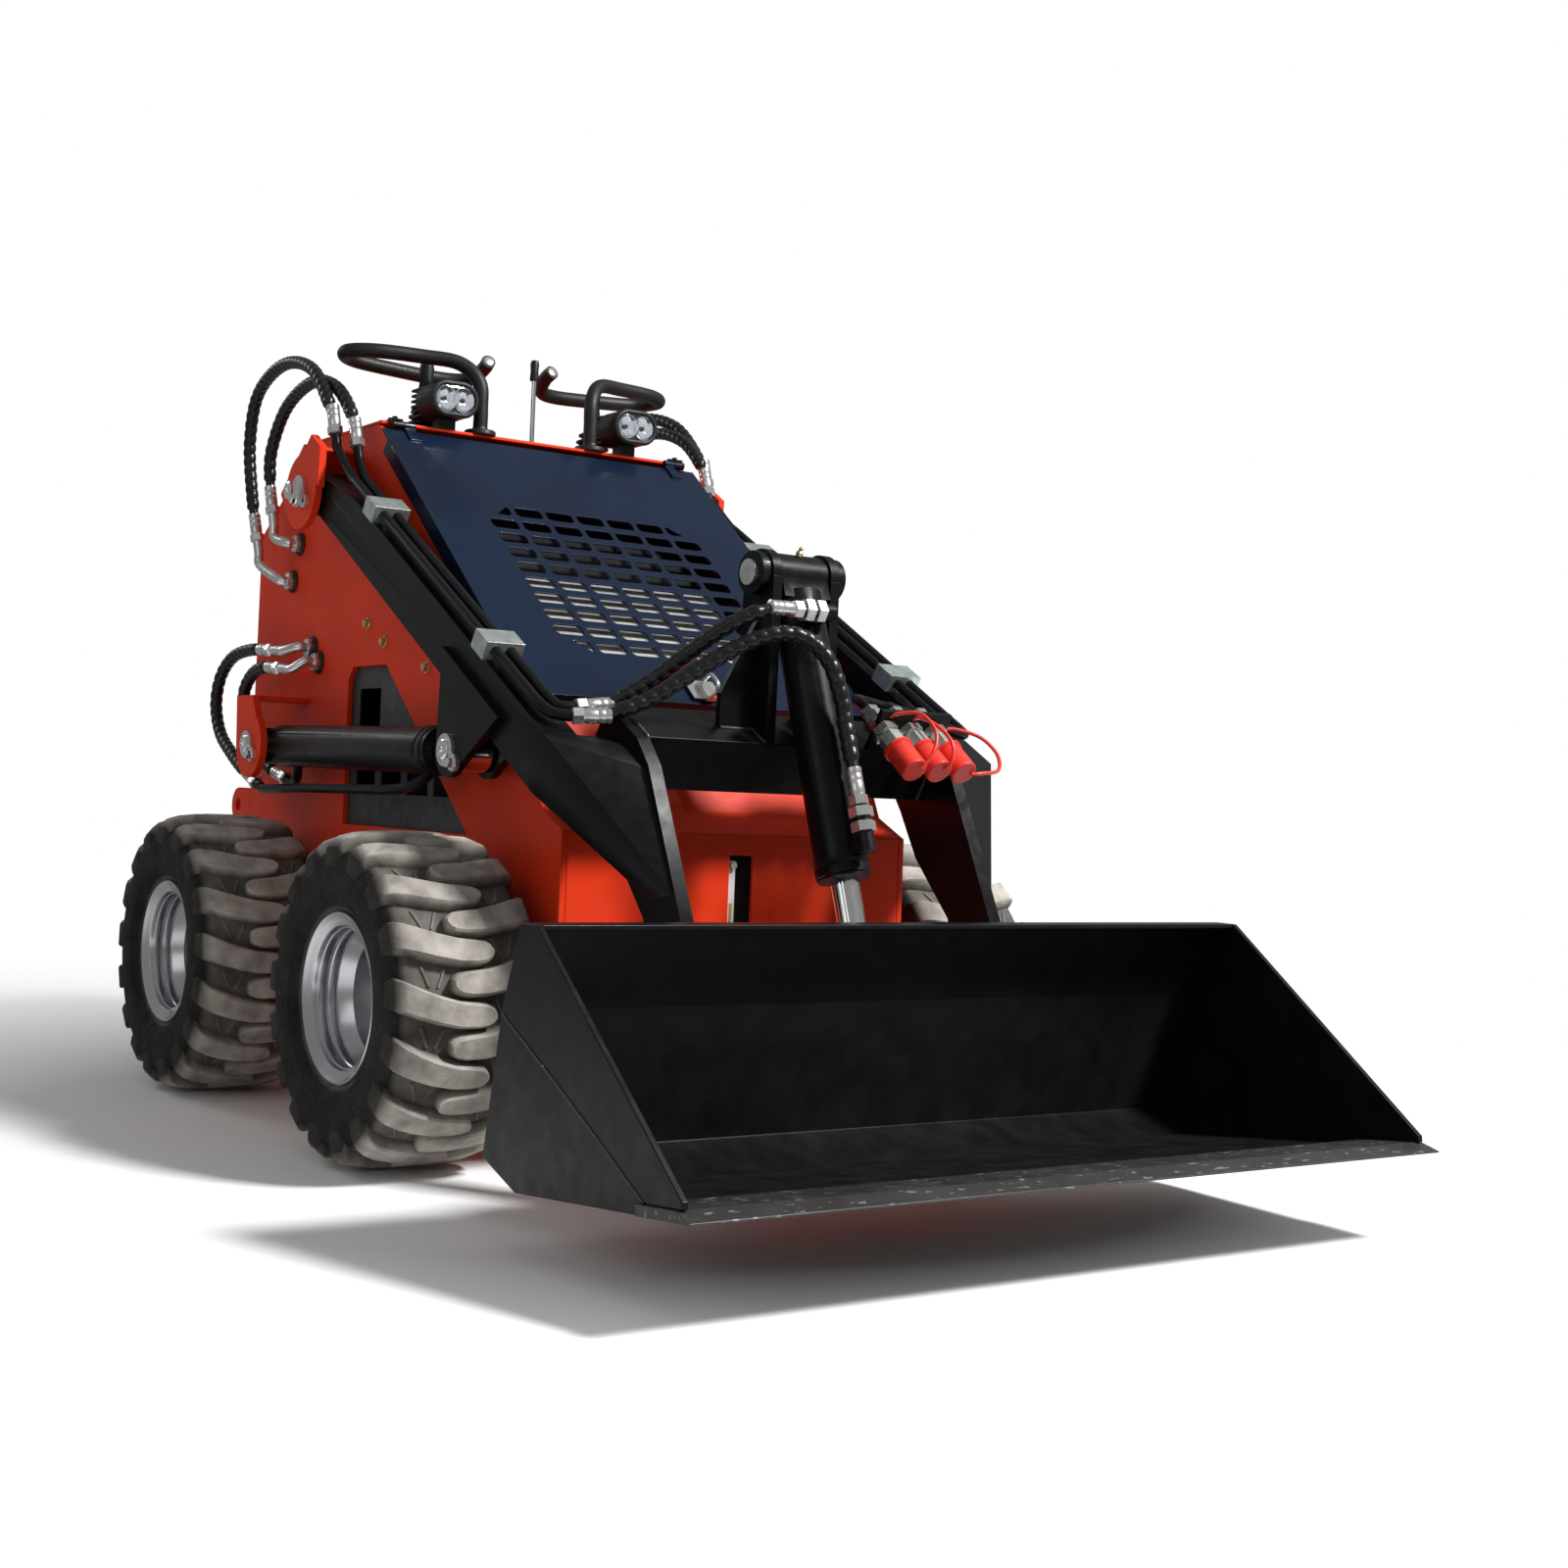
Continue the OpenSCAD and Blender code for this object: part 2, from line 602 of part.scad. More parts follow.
module hood_panel() {
  top = -hood_drop;
  color(navy) placed() on_hood() difference() {
    union() {
      translate([-hood_w / 2, -hood_len, top - hood_t]) cube([hood_w, hood_len - hinge_r - 1, hood_t]);
      both_sides() translate([hood_w / 2 - hood_t, -hood_len, top - hood_edge]) cube([hood_t, hood_len - 40, hood_edge]);
      translate([-hood_w / 2, -hood_len, top - hood_edge]) cube([hood_w, hood_t, hood_edge]);
      both_sides() {
        rotate([0, 90, 0]) translate([0, 0, hinge_x[0]]) cylinder(h = hinge_x[1] - hinge_x[0], r = hinge_r);
        translate([hinge_x[0], -40, top]) cube([hinge_x[1] - hinge_x[0], 40, 4]);
      }
    }
    translate([0, 0, top - hood_t - 1]) linear_extrude(hood_t + 2) grille_slots();
    both_sides() rotate([0, 90, 0]) translate([0, 0, hinge_x[0] - 1])
      cylinder(h = hinge_x[1] - hinge_x[0] + 2, r = hinge_pin_r + pin_fit);
  }
}

// Lift arms
cheek_front = [-419, 367];
cheek_knee = [-332, 560];
cheek_back = [[-334, 363], [-261, 445], [-224, 512]];
cheek_outline = [arm_pt(cross_s[0], cross_h[1]), arm_pt(cross_s[1] + 5, cross_h[1]), cheek_knee, cheek_front,
  toe + [-toe_r, 10], toe + [-toe_r, 0], toe + [toe_r, 0], toe + [toe_r, 10], cheek_back[0], cheek_back[1],
  cheek_back[2], arm_pt(cross_s[0], cross_h[0])];
knee_outline = [arm_pt(875, 55), arm_pt(cross_s[1], 70), cheek_knee + [8, -4], [-400, 398], [-345, 388],
  cheek_back[1], cheek_back[2]];
arm_outline = [arm_pt(0, -arm_below), arm_pt(arm_len, -arm_below), arm_pt(arm_len, arm_depth - arm_below),
  arm_pt(170, arm_depth - arm_below), arm_pt(0, arm_boss_r)];
eye_plate = [arm_pt(590, 30), arm_pt(660, -100), arm_pt(722, -100), arm_pt(790, 30)];

module arm() {
  difference() {
    union() {
      slab(arm_in, arm_out) { polygon(arm_outline); disc(arm_pivot, arm_boss_r); }
      pin(arm_pivot, arm_boss_r, half + slide_gap, pivot_ear_x - slide_gap);
      hull() {
        slab(arm_in, arm_out) polygon([arm_pt(890, -arm_below), arm_pt(arm_len, -arm_below),
          arm_pt(arm_len, arm_depth - arm_below), arm_pt(890, arm_depth - arm_below)]);
        slab(cheek_out - 8, cheek_out) polygon(knee_outline);
      }
      slab(cheek_in, cheek_out) { polygon(cheek_outline); disc(toe, toe_r); }
      for (x = [arm_in - ear_t, arm_out]) slab(x, x + ear_t) { polygon(eye_plate); disc(lift_eye, toe_r); }
    }
    pin(arm_pivot, arm_pin_d / 2 + pin_fit, half, pivot_ear_x);
    pin(lift_eye, pin_d / 2 + pin_fit, arm_in - ear_t - 1, arm_out + ear_t + 1);
    pin(toe, pin_d / 2 + pin_fit, cheek_in - 1, cheek_out + 1);
  }
}
module arm_left() { color(black) placed() arm(); }
module arm_right() { color(black) placed() right_side() arm(); }

module cross_section() {
  polygon([arm_pt(cross_s[0], cross_h[0]), arm_pt(cross_s[1], cross_h[0]), arm_pt(cross_s[1], cross_h[1]),
    arm_pt(cross_s[0], cross_h[1])]);
}
module cross_tube() { color(black) placed() slab(-cheek_in, cheek_in) cross_section(); }

// Tower: two plates with bossed heads, each braced sideways by a gusset that stands on the tube
tower_r = 34;
gusset_t = 10;
gusset_reach = 56;
gusset_foot = arm_pt((cross_s[0] + cross_s[1]) / 2, cross_h[1]);
gusset_lean = atan2(gusset_foot[0] - tilt_top[0], tilt_top[1] - gusset_foot[1]);
module tower_gusset() {
  x = tower_gap + tower_t;
  difference() {
    translate([0, gusset_foot[0], gusset_foot[1]]) rotate([90 + gusset_lean, 0, 0]) translate([0, 0, -gusset_t / 2])
      linear_extrude(gusset_t) polygon([[x, -gusset_t], [x + gusset_reach, -gusset_t], [x + gusset_reach, 45],
        [x, 150]]);
    slab(0, cheek_in) cross_section();
  }
}
module tilt_tower() {
  color(black) placed() both_sides() {
    difference() {
      union() {
        slab(tower_gap, tower_gap + tower_t) {
          disc(tilt_top, tower_r);
          polygon([arm_pt(cross_s[0], cross_h[1]), arm_pt(cross_s[1], cross_h[1]), tilt_top + [-tower_r, -6],
            tilt_top + [tower_r, -6]]);
        }
        pin(tilt_top, tower_r - 4, tower_gap + tower_t, tower_gap + tower_t + tower_boss);
      }
      pin(tilt_top, pin_d / 2 + pin_fit, 0, tower_gap + tower_t + tower_boss + 1);
    }
    tower_gusset();
  }
}

// Pins of the arms: two short ones at each lift cylinder's eye, one in each toe and one in the tower
toe_ear_in = cheek_in - pass_gap - attach_ear_t;
toe_ear_out = cheek_out + pass_gap + attach_ear_t;
attach_w = 2 * (toe_ear_out + attach_margin);
module arm_pins() {
  color(zinc) placed() {
    both_sides() {
      pin(lift_eye, pin_d / 2, arm_in - ear_t, arm_in);
      pin_with_retainer(lift_eye, pin_d / 2, arm_out, arm_out + ear_t);
      pin(toe, pin_d / 2, toe_ear_in - 6, toe_ear_out + 6);
    }
    pin(tilt_top, pin_d / 2, -tower_gap - tower_t - tower_boss, tower_gap + tower_t + tower_boss);
    both_sides() pin(tilt_top, pin_d / 2 + 3, tower_gap + tower_t + tower_boss, tower_gap + tower_t + tower_boss + 6);
  }
}

// Steel pipes along the top of each arm, bent up at the pivot to meet their hoses
function lead_in(hose, reach) = hose[0] + reach * unit(hose[0] - hose[1]);
function pipe_route(x, hose) = concat(smooth([lead_in(hose, hose_gap), lead_in(hose, 14), lead_in(hose, 28),
  concat([x], arm_pt(pipe_run[0] + 40, pipe_h)), concat([x], arm_pt(pipe_run[0] + 90, pipe_h))], 3),
  [concat([x], arm_pt(pipe_run[1] - 40, pipe_h)), concat([x], arm_pt(pipe_run[1], pipe_h))]);
module arm_pipes() {
  color(black) placed() both_sides() {
    tube(pipe_route(pipe_x[0], lift_hose_inner), pipe_d, 12);
    tube(pipe_route(pipe_x[1], lift_hose_outer), pipe_d, 12);
  }
}
module pipe_clamps() {
  color(zinc) placed() both_sides() for (s = clamp_s) difference() {
    slab(arm_x - clamp_size[0] / 2, arm_x + clamp_size[0] / 2) polygon([arm_pt(s, arm_depth - arm_below),
      arm_pt(s + clamp_size[1], arm_depth - arm_below), arm_pt(s + clamp_size[1], arm_depth - arm_below + clamp_size[2]),
      arm_pt(s, arm_depth - arm_below + clamp_size[2])]);
    for (x = pipe_x) translate([x, 0, 0]) aimed(arm_pt(s - 10, pipe_h), arm_pt(s + clamp_size[1] + 10, pipe_h))
      cylinder(h = clamp_size[1] + 20, d = pipe_d + 2 * rod_fit);
  }
}

// Auxiliary couplers on a plate over the cross tube, left of the tower
coupler_x = [150, 195, 240];
coupler_line = [arm_pt(cross_s[1] - 10, cross_h[1] + 34), arm_pt(cross_s[1] + 85, cross_h[1] + 20)];
coupler_len = norm(coupler_line[1] - coupler_line[0]);
module coupler_bracket() {
  color(black) placed() difference() {
    slab(coupler_x[0] - 30, cheek_in) polygon([arm_pt(cross_s[1] - 8, cross_h[1]), arm_pt(cross_s[1], cross_h[1]),
      arm_pt(cross_s[1], cross_h[1] + 62), arm_pt(cross_s[1] - 8, cross_h[1] + 62)]);
    for (x = coupler_x) translate([x - 16, 0, 0]) aimed(coupler_line[0], coupler_line[1])
      translate([0, 0, -20]) cylinder(h = 60, d = 26 + 2 * rod_fit);
  }
}
module aux_couplers() {
  color(zinc) placed() for (x = coupler_x) translate([x - 16, 0, 0]) aimed(coupler_line[0], coupler_line[1]) {
    translate([0, 0, -20]) cylinder(h = coupler_len - 10, d = 26);
    translate([0, 0, 24]) cylinder(h = 26, d = 34, $fn = 6);
  }
}
module coupler_caps() {
  color(red) placed() for (x = coupler_x) translate([x - 16, 0, 0]) aimed(coupler_line[0], coupler_line[1])
    difference() {
      translate([0, 0, coupler_len - 46]) cylinder(h = 50, d = 38);
      translate([0, 0, coupler_len - 47]) cylinder(h = 17 + 20, d = 26 + 2 * rod_fit);
    }
}

// Hydraulic cylinders: a barrel with an eye at its base, and a rod with an eye at its end
module barrel(p, q, d, rod_d, length, eye_w) {
  translate([0, 0, 0]) difference() {
    union() {
      aimed(p, q) {
        translate([0, 0, eye_r]) cylinder(h = length - eye_r, d = d);
        translate([-eye_w / 2 + 1, -eye_r + 4, 0]) cube([eye_w - 2, 2 * eye_r - 8, eye_r + 12]);
      }
      pin(p, eye_r, -eye_w / 2, eye_w / 2);
    }
    pin(p, pin_d / 2 + pin_fit, -eye_w / 2 - 1, eye_w / 2 + 1);
    aimed(p, q) translate([0, 0, eye_r + 28]) cylinder(h = length, d = rod_d + 2 * rod_fit);
  }
}
module rod(p, q, d, inner_end, length, eye_w) {
  difference() {
    union() {
      aimed(p, q) translate([0, 0, inner_end]) cylinder(h = length - eye_r + 8 - inner_end, d = d);
      pin(q, eye_r, -eye_w / 2, eye_w / 2);
    }
    pin(q, pin_d / 2 + 1, -eye_w / 2 - 1, eye_w / 2 + 1);
  }
}
lift_gland_gap = 53;
lift_barrel_len = lift_len - eye_r - lift_gland_gap;
lift_rod_start = 110;
tilt_gland_gap = 112;
tilt_barrel_len = tilt_len - eye_r - tilt_gland_gap;
tilt_rod_start = 140;
lift_base_w = 64;
// Port pipe under the lift barrel, from the outer hose to the gland, and the elbow of the inner hose
gland_port_y = lift_base[0] - lift_barrel_len + 38;
base_port_y = lift_base[0] - 97;
function barrel_low(y) = lift_base[1] + (y - lift_base[0]) * (lift_eye[1] - lift_base[1]) / (lift_eye[0] - lift_base[0])
  - lift_barrel_d / 2;
module lift_barrel() {
  outer = reversed(cylinder_hose_outer);
  base = reversed(cylinder_hose_inner);
  translate([arm_x, 0, 0]) barrel(lift_base, lift_eye, lift_barrel_d, lift_rod_d, lift_barrel_len, lift_base_w);
  tube(smooth([lead_in(outer, hose_gap), lead_in(outer, 20), lead_in(outer, 40), [outer[0][0], 560, 508],
    [outer[0][0], 220, 512],
    [outer[0][0] - 6, gland_port_y + 30, 522], [arm_x, gland_port_y, barrel_low(gland_port_y) + 2], [arm_x, gland_port_y, barrel_low(gland_port_y) + 8]], 2), pipe_d, 8);
  tube(smooth([lead_in(base, hose_gap), lead_in(base, 14), lead_in(base, 28), [base[0][0] + 8, base_port_y + 16, 524],
    [arm_x, base_port_y, barrel_low(base_port_y) - 1], [arm_x, base_port_y, barrel_low(base_port_y) + 5]], 2), pipe_d, 8);
}
module lift_rod() {
  translate([arm_x, 0, 0]) rod(lift_base, lift_eye, lift_rod_d, lift_rod_start, lift_len, lift_eye_w);
}
module lift_barrel_left() { color(black) placed() lift_barrel(); }
module lift_barrel_right() { color(black) placed() right_side() lift_barrel(); }
module lift_rod_left() { color(silver) placed() lift_rod(); }
module lift_rod_right() { color(silver) placed() right_side() lift_rod(); }
module tilt_barrel() {
  color(black) placed() {
    barrel(tilt_top, tilt_eye, tilt_barrel_d, tilt_rod_d, tilt_barrel_len, 2 * (tower_gap - slide_gap));
    aimed(tilt_top, tilt_eye) {
      translate([0, tilt_barrel_d / 2 - 2, upper_port[0]]) rotate([-90, 0, 0]) cylinder(h = upper_port[1] + 2, d = port_d);
      translate([-upper_port_reach + hose_gap, tilt_barrel_d / 2 + upper_port[1], upper_port[0]]) rotate([0, 90, 0])
        cylinder(h = upper_port_reach - hose_gap + port_d / 2, d = port_d);
      translate([0, tilt_barrel_d / 2 - 2, lower_port[0]]) rotate([-90, 0, 0]) cylinder(h = lower_port[1] + 2, d = port_d);
      translate([0, tilt_barrel_d / 2 + lower_port[1], lower_port[0] - lower_port_reach + hose_gap])
        cylinder(h = lower_port_reach - hose_gap + port_d / 2, d = port_d);
    }
  }
}
module tilt_rod() { color(silver) placed() rod(tilt_top, tilt_eye, tilt_rod_d, tilt_rod_start, tilt_len, tilt_eye_w); }

// Attachment plate on the bucket's back, with ears for the toes and for the tilt rod
back_dir = unit(back_bend - heel);
function back_pt(run, out) = let (p = heel + run * back_dir + out * left_of(back_dir)) world(p[0], p[1]);
tilt_ear_in = tilt_eye_w / 2 + pass_gap;
// Window behind the tilt rod's eye, which comes close to the plate when the bucket is rolled back
eye_window = [120, 232];
module attach_ear(p, r, x0, x1, run0, run1) {
  slab(x0, x1) { disc(p, r); polygon([back_pt(run0, 1), back_pt(run1, 1), p + [0, r], p + [0, -r]]); }
}
module attach_plate() {
  color(black) placed() difference() {
    union() {
      slab(-attach_w / 2, attach_w / 2) polygon([back_pt(attach_run[0], 0), back_pt(attach_run[1], 0),
        back_pt(attach_run[1], attach_t), back_pt(attach_run[0], attach_t)]);
      both_sides() {
        attach_ear(toe, 32, toe_ear_in, toe_ear_in + attach_ear_t, 10, 120);
        attach_ear(toe, 32, toe_ear_out - attach_ear_t, toe_ear_out, 10, 120);
        attach_ear(tilt_eye, 28, tilt_ear_in, tilt_ear_in + attach_ear_t, 130, 236);
      }
    }
    both_sides() {
      pin(toe, pin_d / 2 + pin_fit, toe_ear_in - 1, toe_ear_out + 1);
      pin(tilt_eye, pin_d / 2 + pin_fit, tilt_ear_in - 1, tilt_ear_in + attach_ear_t + 1);
    }
    slab(-tilt_ear_in, tilt_ear_in) polygon([for (c = [[0, -1], [1, -1], [1, 1], [0, 1]])
      back_pt(eye_window[c[0]], (1 + c[1]) * attach_t - 1)]);
  }
}

// Bucket: a bent shell between two side plates, with a thicker cutting edge
floor_end = floor_len - edge_depth;
shell_line = [[floor_end, 0], [0, 0], heel, back_bend, back_top, back_top + [top_flange, -4]];
shell_world = [for (p = shell_line) world(p[0], p[1])];
module bucket_shell() {
  color(black) placed() slab(-bucket_w / 2 + bucket_side_t, bucket_w / 2 - bucket_side_t)
    polygon(bent_sheet(shell_world, bucket_t));
}
side_line = [[0, 0], heel, back_bend, back_top, back_top + [top_flange, -4], [floor_len - 14, edge_t + side_nose],
  [floor_len - 14, edge_t], [floor_end, edge_t], [floor_end, 0]];
module bucket_sides() {
  color(black) placed() both_sides() slab(bucket_w / 2 - bucket_side_t, bucket_w / 2)
    polygon([for (p = side_line) world(p[0], p[1])]);
}
edge_line = [[floor_end, 0], [floor_end, edge_t], [floor_len - 20, edge_t], [floor_len + edge_past, 2], [floor_len + edge_past, 0]];
module cutting_edge() {
  color(dark_grey) placed() slab(-bucket_w / 2 - edge_past, bucket_w / 2 + edge_past)
    polygon([for (p = edge_line) world(p[0], p[1])]);
}

// Wheels: [radius, distance outwards from the tyre's middle] outlines turned about the axle
module turned() { rotate([0, 90, 0]) rotate_extrude() children(); }
bead_r = rim_d / 2 - 14;
well_r = bead_r - 16;
module rim() {
  f = rim_w / 2;
  turned() polygon([[rim_d / 2, -f], [rim_d / 2, -f + rim_t], [bead_r, -f + rim_t + 3], [bead_r, -f + 44], [well_r, -f + 62],
    [well_r, f - 62], [bead_r, f - 44], [bead_r, f - rim_t - 3], [rim_d / 2, f - rim_t], [rim_d / 2, f],
    [rim_d / 2 - rim_t, f], [bead_r - rim_t, f - rim_t - 3], [bead_r - rim_t, f - 44], [well_r - rim_t, f - 62],
    [well_r - rim_t, -disc_in + rim_t], [shaft_d / 2 + pin_fit, -disc_in + rim_t], [shaft_d / 2 + pin_fit, -disc_in - 26],
    [hub_r, -disc_in - 26], [hub_r, -disc_in - rim_t], [well_r - rim_t, -disc_in - rim_t], [bead_r - rim_t, -f + 44],
    [bead_r - rim_t, -f + rim_t + 3], [rim_d / 2 - rim_t, -f]]);
}
// Tyre: rings of points across the tread, raised where a lug runs. Each pitch has four columns, the two edges of an
// outer lug and the two edges of the inner lug half a pitch on. Rings off the tread have every second column.
// A ring is [across, radius, across on a lug, radius on a lug, which side's lug is raised].
lugs = 17;
lug_share = [-0.2, 0.2, 0.3, 0.7];
lug_sweep = 32;
bead_seat = bead_r / cos(180 / lugs / 2) + pin_fit;
function tyre_half(s) = let (w = tyre_w / 2, f = rim_w / 2 - rim_t - 3, r = tyre_d / 2, b = r - lug_h) [
  [s * (f - 14), bead_seat, 0], [s * f, bead_seat, 0], [s * (f + 2), rim_d / 2 + 6, 0], [s * w, bead_r + 60, 0],
  [s * (w - 6), b - 17, s * (w - 0.4), r - 29, s], [s * (w - 20), b - 5, s * (w - 13), r - 9, s],
  [s * 8, b + 1, s * 8, r, s]];
function tyre_rings() = concat([[-(tyre_w / 2 - 16), tyre_d / 2 - 2 * lug_h, 0]], tyre_half(-1),
  reversed(tyre_half(1)), [[tyre_w / 2 - 16, tyre_d / 2 - 2 * lug_h, 0]]);
function ring_columns(ring) = len(ring) > 3 ? 4 * lugs : 2 * lugs;
function ring_pt(ring, i) = let (fine = len(ring) > 3, k = fine ? i : 2 * i,
  up = fine && (ring[4] > 0 ? k % 4 < 2 : k % 4 > 1), w = up ? ring[2] : ring[0], r = up ? ring[3] : ring[1],
  sweep = lug_sweep * (fine ? pow(abs(w) / (tyre_w / 2), 1.7) : 1),
  a = (floor(k / 4) + lug_share[k % 4]) * 360 / lugs + sweep / tyre_d * 360 / PI)
  [w, -r * cos(a), r * sin(a)];
function ring_start(rings, i) = i == 0 ? 0 : ring_start(rings, i - 1) + ring_columns(rings[i - 1]);
function strip(a, na, b, nb) = na == nb
  ? [for (i = [0:na - 1], h = [0, 1]) h == 0 ? [a + i, a + (i + 1) % na, b + i] : [a + (i + 1) % na, b + (i + 1) % nb, b + i]]
  : na < nb ? [for (i = [0:na - 1], h = [0:2]) h == 0 ? [a + i, b + 2 * i + 1, b + 2 * i]
      : h == 1 ? [a + i, a + (i + 1) % na, b + 2 * i + 1] : [a + (i + 1) % na, b + (2 * i + 2) % nb, b + 2 * i + 1]]
  : [for (t = strip(b, nb, a, na)) [t[0], t[2], t[1]]];
module tyre() {
  rings = tyre_rings();
  n = len(rings);
  polyhedron([for (g = rings, i = [0:ring_columns(g) - 1]) ring_pt(g, i)],
    [for (i = [0:n - 1]) let (j = (i + 1) % n)
      each strip(ring_start(rings, i), ring_columns(rings[i]), ring_start(rings, j), ring_columns(rings[j]))]);
}
module at_wheel(side, y) { placed() translate([side * track / 2, y, axle_z]) if (side > 0) children(); else right_side() children(); }
module rim_front_right() { color(silver) at_wheel(-1, 0) rim(); }
module rim_front_left() { color(silver) at_wheel(1, 0) rim(); }
module rim_rear_right() { color(silver) at_wheel(-1, rear_axle_y) rim(); }
module rim_rear_left() { color(silver) at_wheel(1, rear_axle_y) rim(); }
module tyre_front_right() { color(rubber) at_wheel(-1, 0) tyre(); }
module tyre_front_left() { color(rubber) at_wheel(1, 0) tyre(); }
module tyre_rear_right() { color(rubber) at_wheel(-1, rear_axle_y) tyre(); }
module tyre_rear_left() { color(rubber) at_wheel(1, rear_axle_y) tyre(); }

// Hoses
module lift_hoses() { tube(lift_hose_outer, hose_d, 8); tube(lift_hose_inner, hose_d, 8); }
module cylinder_hoses() { tube(cylinder_hose_outer, hose_d, 8); tube(cylinder_hose_inner, hose_d, 8); }
module lift_hoses_left() { color(black) placed() lift_hoses(); }
module lift_hoses_right() { color(black) placed() right_side() lift_hoses(); }
module cylinder_hoses_left() { color(black) placed() cylinder_hoses(); }
module cylinder_hoses_right() { color(black) placed() right_side() cylinder_hoses(); }
module tilt_hoses() { color(black) placed() { tube(tilt_hose_upper, hose_d, 8); tube(tilt_hose_lower, hose_d, 8); } }

side_plate_right();
side_plate_left();
belly_pan();
front_panel();
rear_panel();
top_deck();
instrument_panel();
pivot_ears();
pivot_pins();
side_covers();
engine();
oil_cooler();
hydraulic_tank();
wheel_motors();
handlebars();
lamp_bodies();
lamp_lenses();
control_levers();
operator_platform();
tie_down_eyes();
hood_hinges();
hose_fittings();
hood_panel();
arm_right();
arm_left();
cross_tube();
tilt_tower();
arm_pins();
arm_pipes();
pipe_clamps();
coupler_bracket();
aux_couplers();
coupler_caps();
lift_barrel_right();
lift_barrel_left();
lift_rod_right();
lift_rod_left();
tilt_barrel();
tilt_rod();
attach_plate();
bucket_shell();
bucket_sides();
cutting_edge();
rim_front_right();
rim_front_left();
rim_rear_right();
rim_rear_left();
tyre_front_right();
tyre_front_left();
tyre_rear_right();
tyre_rear_left();
lift_hoses_right();
lift_hoses_left();
cylinder_hoses_right();
cylinder_hoses_left();
tilt_hoses();
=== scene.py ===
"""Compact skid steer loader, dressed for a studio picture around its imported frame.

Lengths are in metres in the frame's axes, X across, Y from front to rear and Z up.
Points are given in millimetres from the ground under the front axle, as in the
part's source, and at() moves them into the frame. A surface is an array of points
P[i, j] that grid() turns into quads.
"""

import json
import math

import bmesh
import bpy
import numpy as np
from mathutils import Matrix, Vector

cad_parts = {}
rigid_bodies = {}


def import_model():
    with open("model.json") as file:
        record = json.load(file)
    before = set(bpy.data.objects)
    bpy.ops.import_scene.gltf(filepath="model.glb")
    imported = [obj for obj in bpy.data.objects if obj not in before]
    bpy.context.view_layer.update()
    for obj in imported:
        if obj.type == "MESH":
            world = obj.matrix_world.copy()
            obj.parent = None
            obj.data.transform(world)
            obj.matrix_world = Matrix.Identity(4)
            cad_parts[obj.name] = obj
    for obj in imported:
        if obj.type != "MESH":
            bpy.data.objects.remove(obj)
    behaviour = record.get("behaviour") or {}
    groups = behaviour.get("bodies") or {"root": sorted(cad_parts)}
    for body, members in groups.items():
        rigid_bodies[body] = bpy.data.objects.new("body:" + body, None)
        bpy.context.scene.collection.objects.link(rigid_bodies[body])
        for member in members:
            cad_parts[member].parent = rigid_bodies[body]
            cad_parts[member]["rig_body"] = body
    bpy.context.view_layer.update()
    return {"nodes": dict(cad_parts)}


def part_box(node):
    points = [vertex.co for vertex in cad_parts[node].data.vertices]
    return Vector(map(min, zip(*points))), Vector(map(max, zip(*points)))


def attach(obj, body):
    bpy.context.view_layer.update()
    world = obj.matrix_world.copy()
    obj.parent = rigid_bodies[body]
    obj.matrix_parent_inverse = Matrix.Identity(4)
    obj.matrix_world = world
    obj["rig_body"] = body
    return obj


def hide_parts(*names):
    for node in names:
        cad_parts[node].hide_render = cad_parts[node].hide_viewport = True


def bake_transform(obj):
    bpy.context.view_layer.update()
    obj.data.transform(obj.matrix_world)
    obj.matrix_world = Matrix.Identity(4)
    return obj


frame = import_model()
NODES = frame["nodes"]
TAU = 2 * math.pi
MM = 0.001
UP = (0, 0, 1)
FORWARD = (0, -1, 0)


def middle(node):
    """Middle of a node's box, as an array."""
    low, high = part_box(node)
    return (np.array(low) + np.array(high)) / 2


AXLE = middle("tyre_front_right")
REAR_AXLE = middle("tyre_rear_right")


def at(points):
    """Millimetres from the ground under the front axle to metres in the frame."""
    return np.asarray(points, float) * MM + (0, AXLE[1], 0)


def mirrored(points):
    """The same points on the other side of the machine."""
    return np.asarray(points, float) * (-1, 1, 1)


# Points that both sides have are written for the left one
SIDES = (("right", mirrored), ("left", lambda points: np.asarray(points, float)))
OUTWARD = (1, 0, 0)


# Camera: where the photograph was taken from, as yaw, pitch and roll of its axes
CAMERA_PLACE = (-1640, -2425, 526)
CAMERA_TURN = (31.13, 1.69, 2.37)
CAMERA_LENS = 44.66
CAMERA_SHIFT = (0.1315, -0.0338)


def studio_camera():
    """Axes: ahead from yaw and pitch, then right and up turned about it by the roll."""
    yaw, pitch, roll = np.radians(CAMERA_TURN)
    ahead = np.array([math.sin(yaw) * math.cos(pitch), math.cos(yaw) * math.cos(pitch), math.sin(pitch)])
    level = np.array([math.cos(yaw), -math.sin(yaw), 0])
    rise = np.cross(level, ahead)
    right = math.cos(roll) * level + math.sin(roll) * rise
    top = math.cos(roll) * rise - math.sin(roll) * level
    data = bpy.data.cameras.new("camera")
    data.lens = CAMERA_LENS
    data.shift_x, data.shift_y = CAMERA_SHIFT
    camera = bpy.data.objects.new("camera", data)
    turn = np.eye(4)
    turn[:3, :3] = np.column_stack([right, top, -ahead])
    turn[:3, 3] = at(CAMERA_PLACE)
    camera.matrix_world = Matrix(turn.tolist())
    bpy.context.scene.collection.objects.link(camera)
    bpy.context.scene.camera = camera


studio_camera()


# Materials

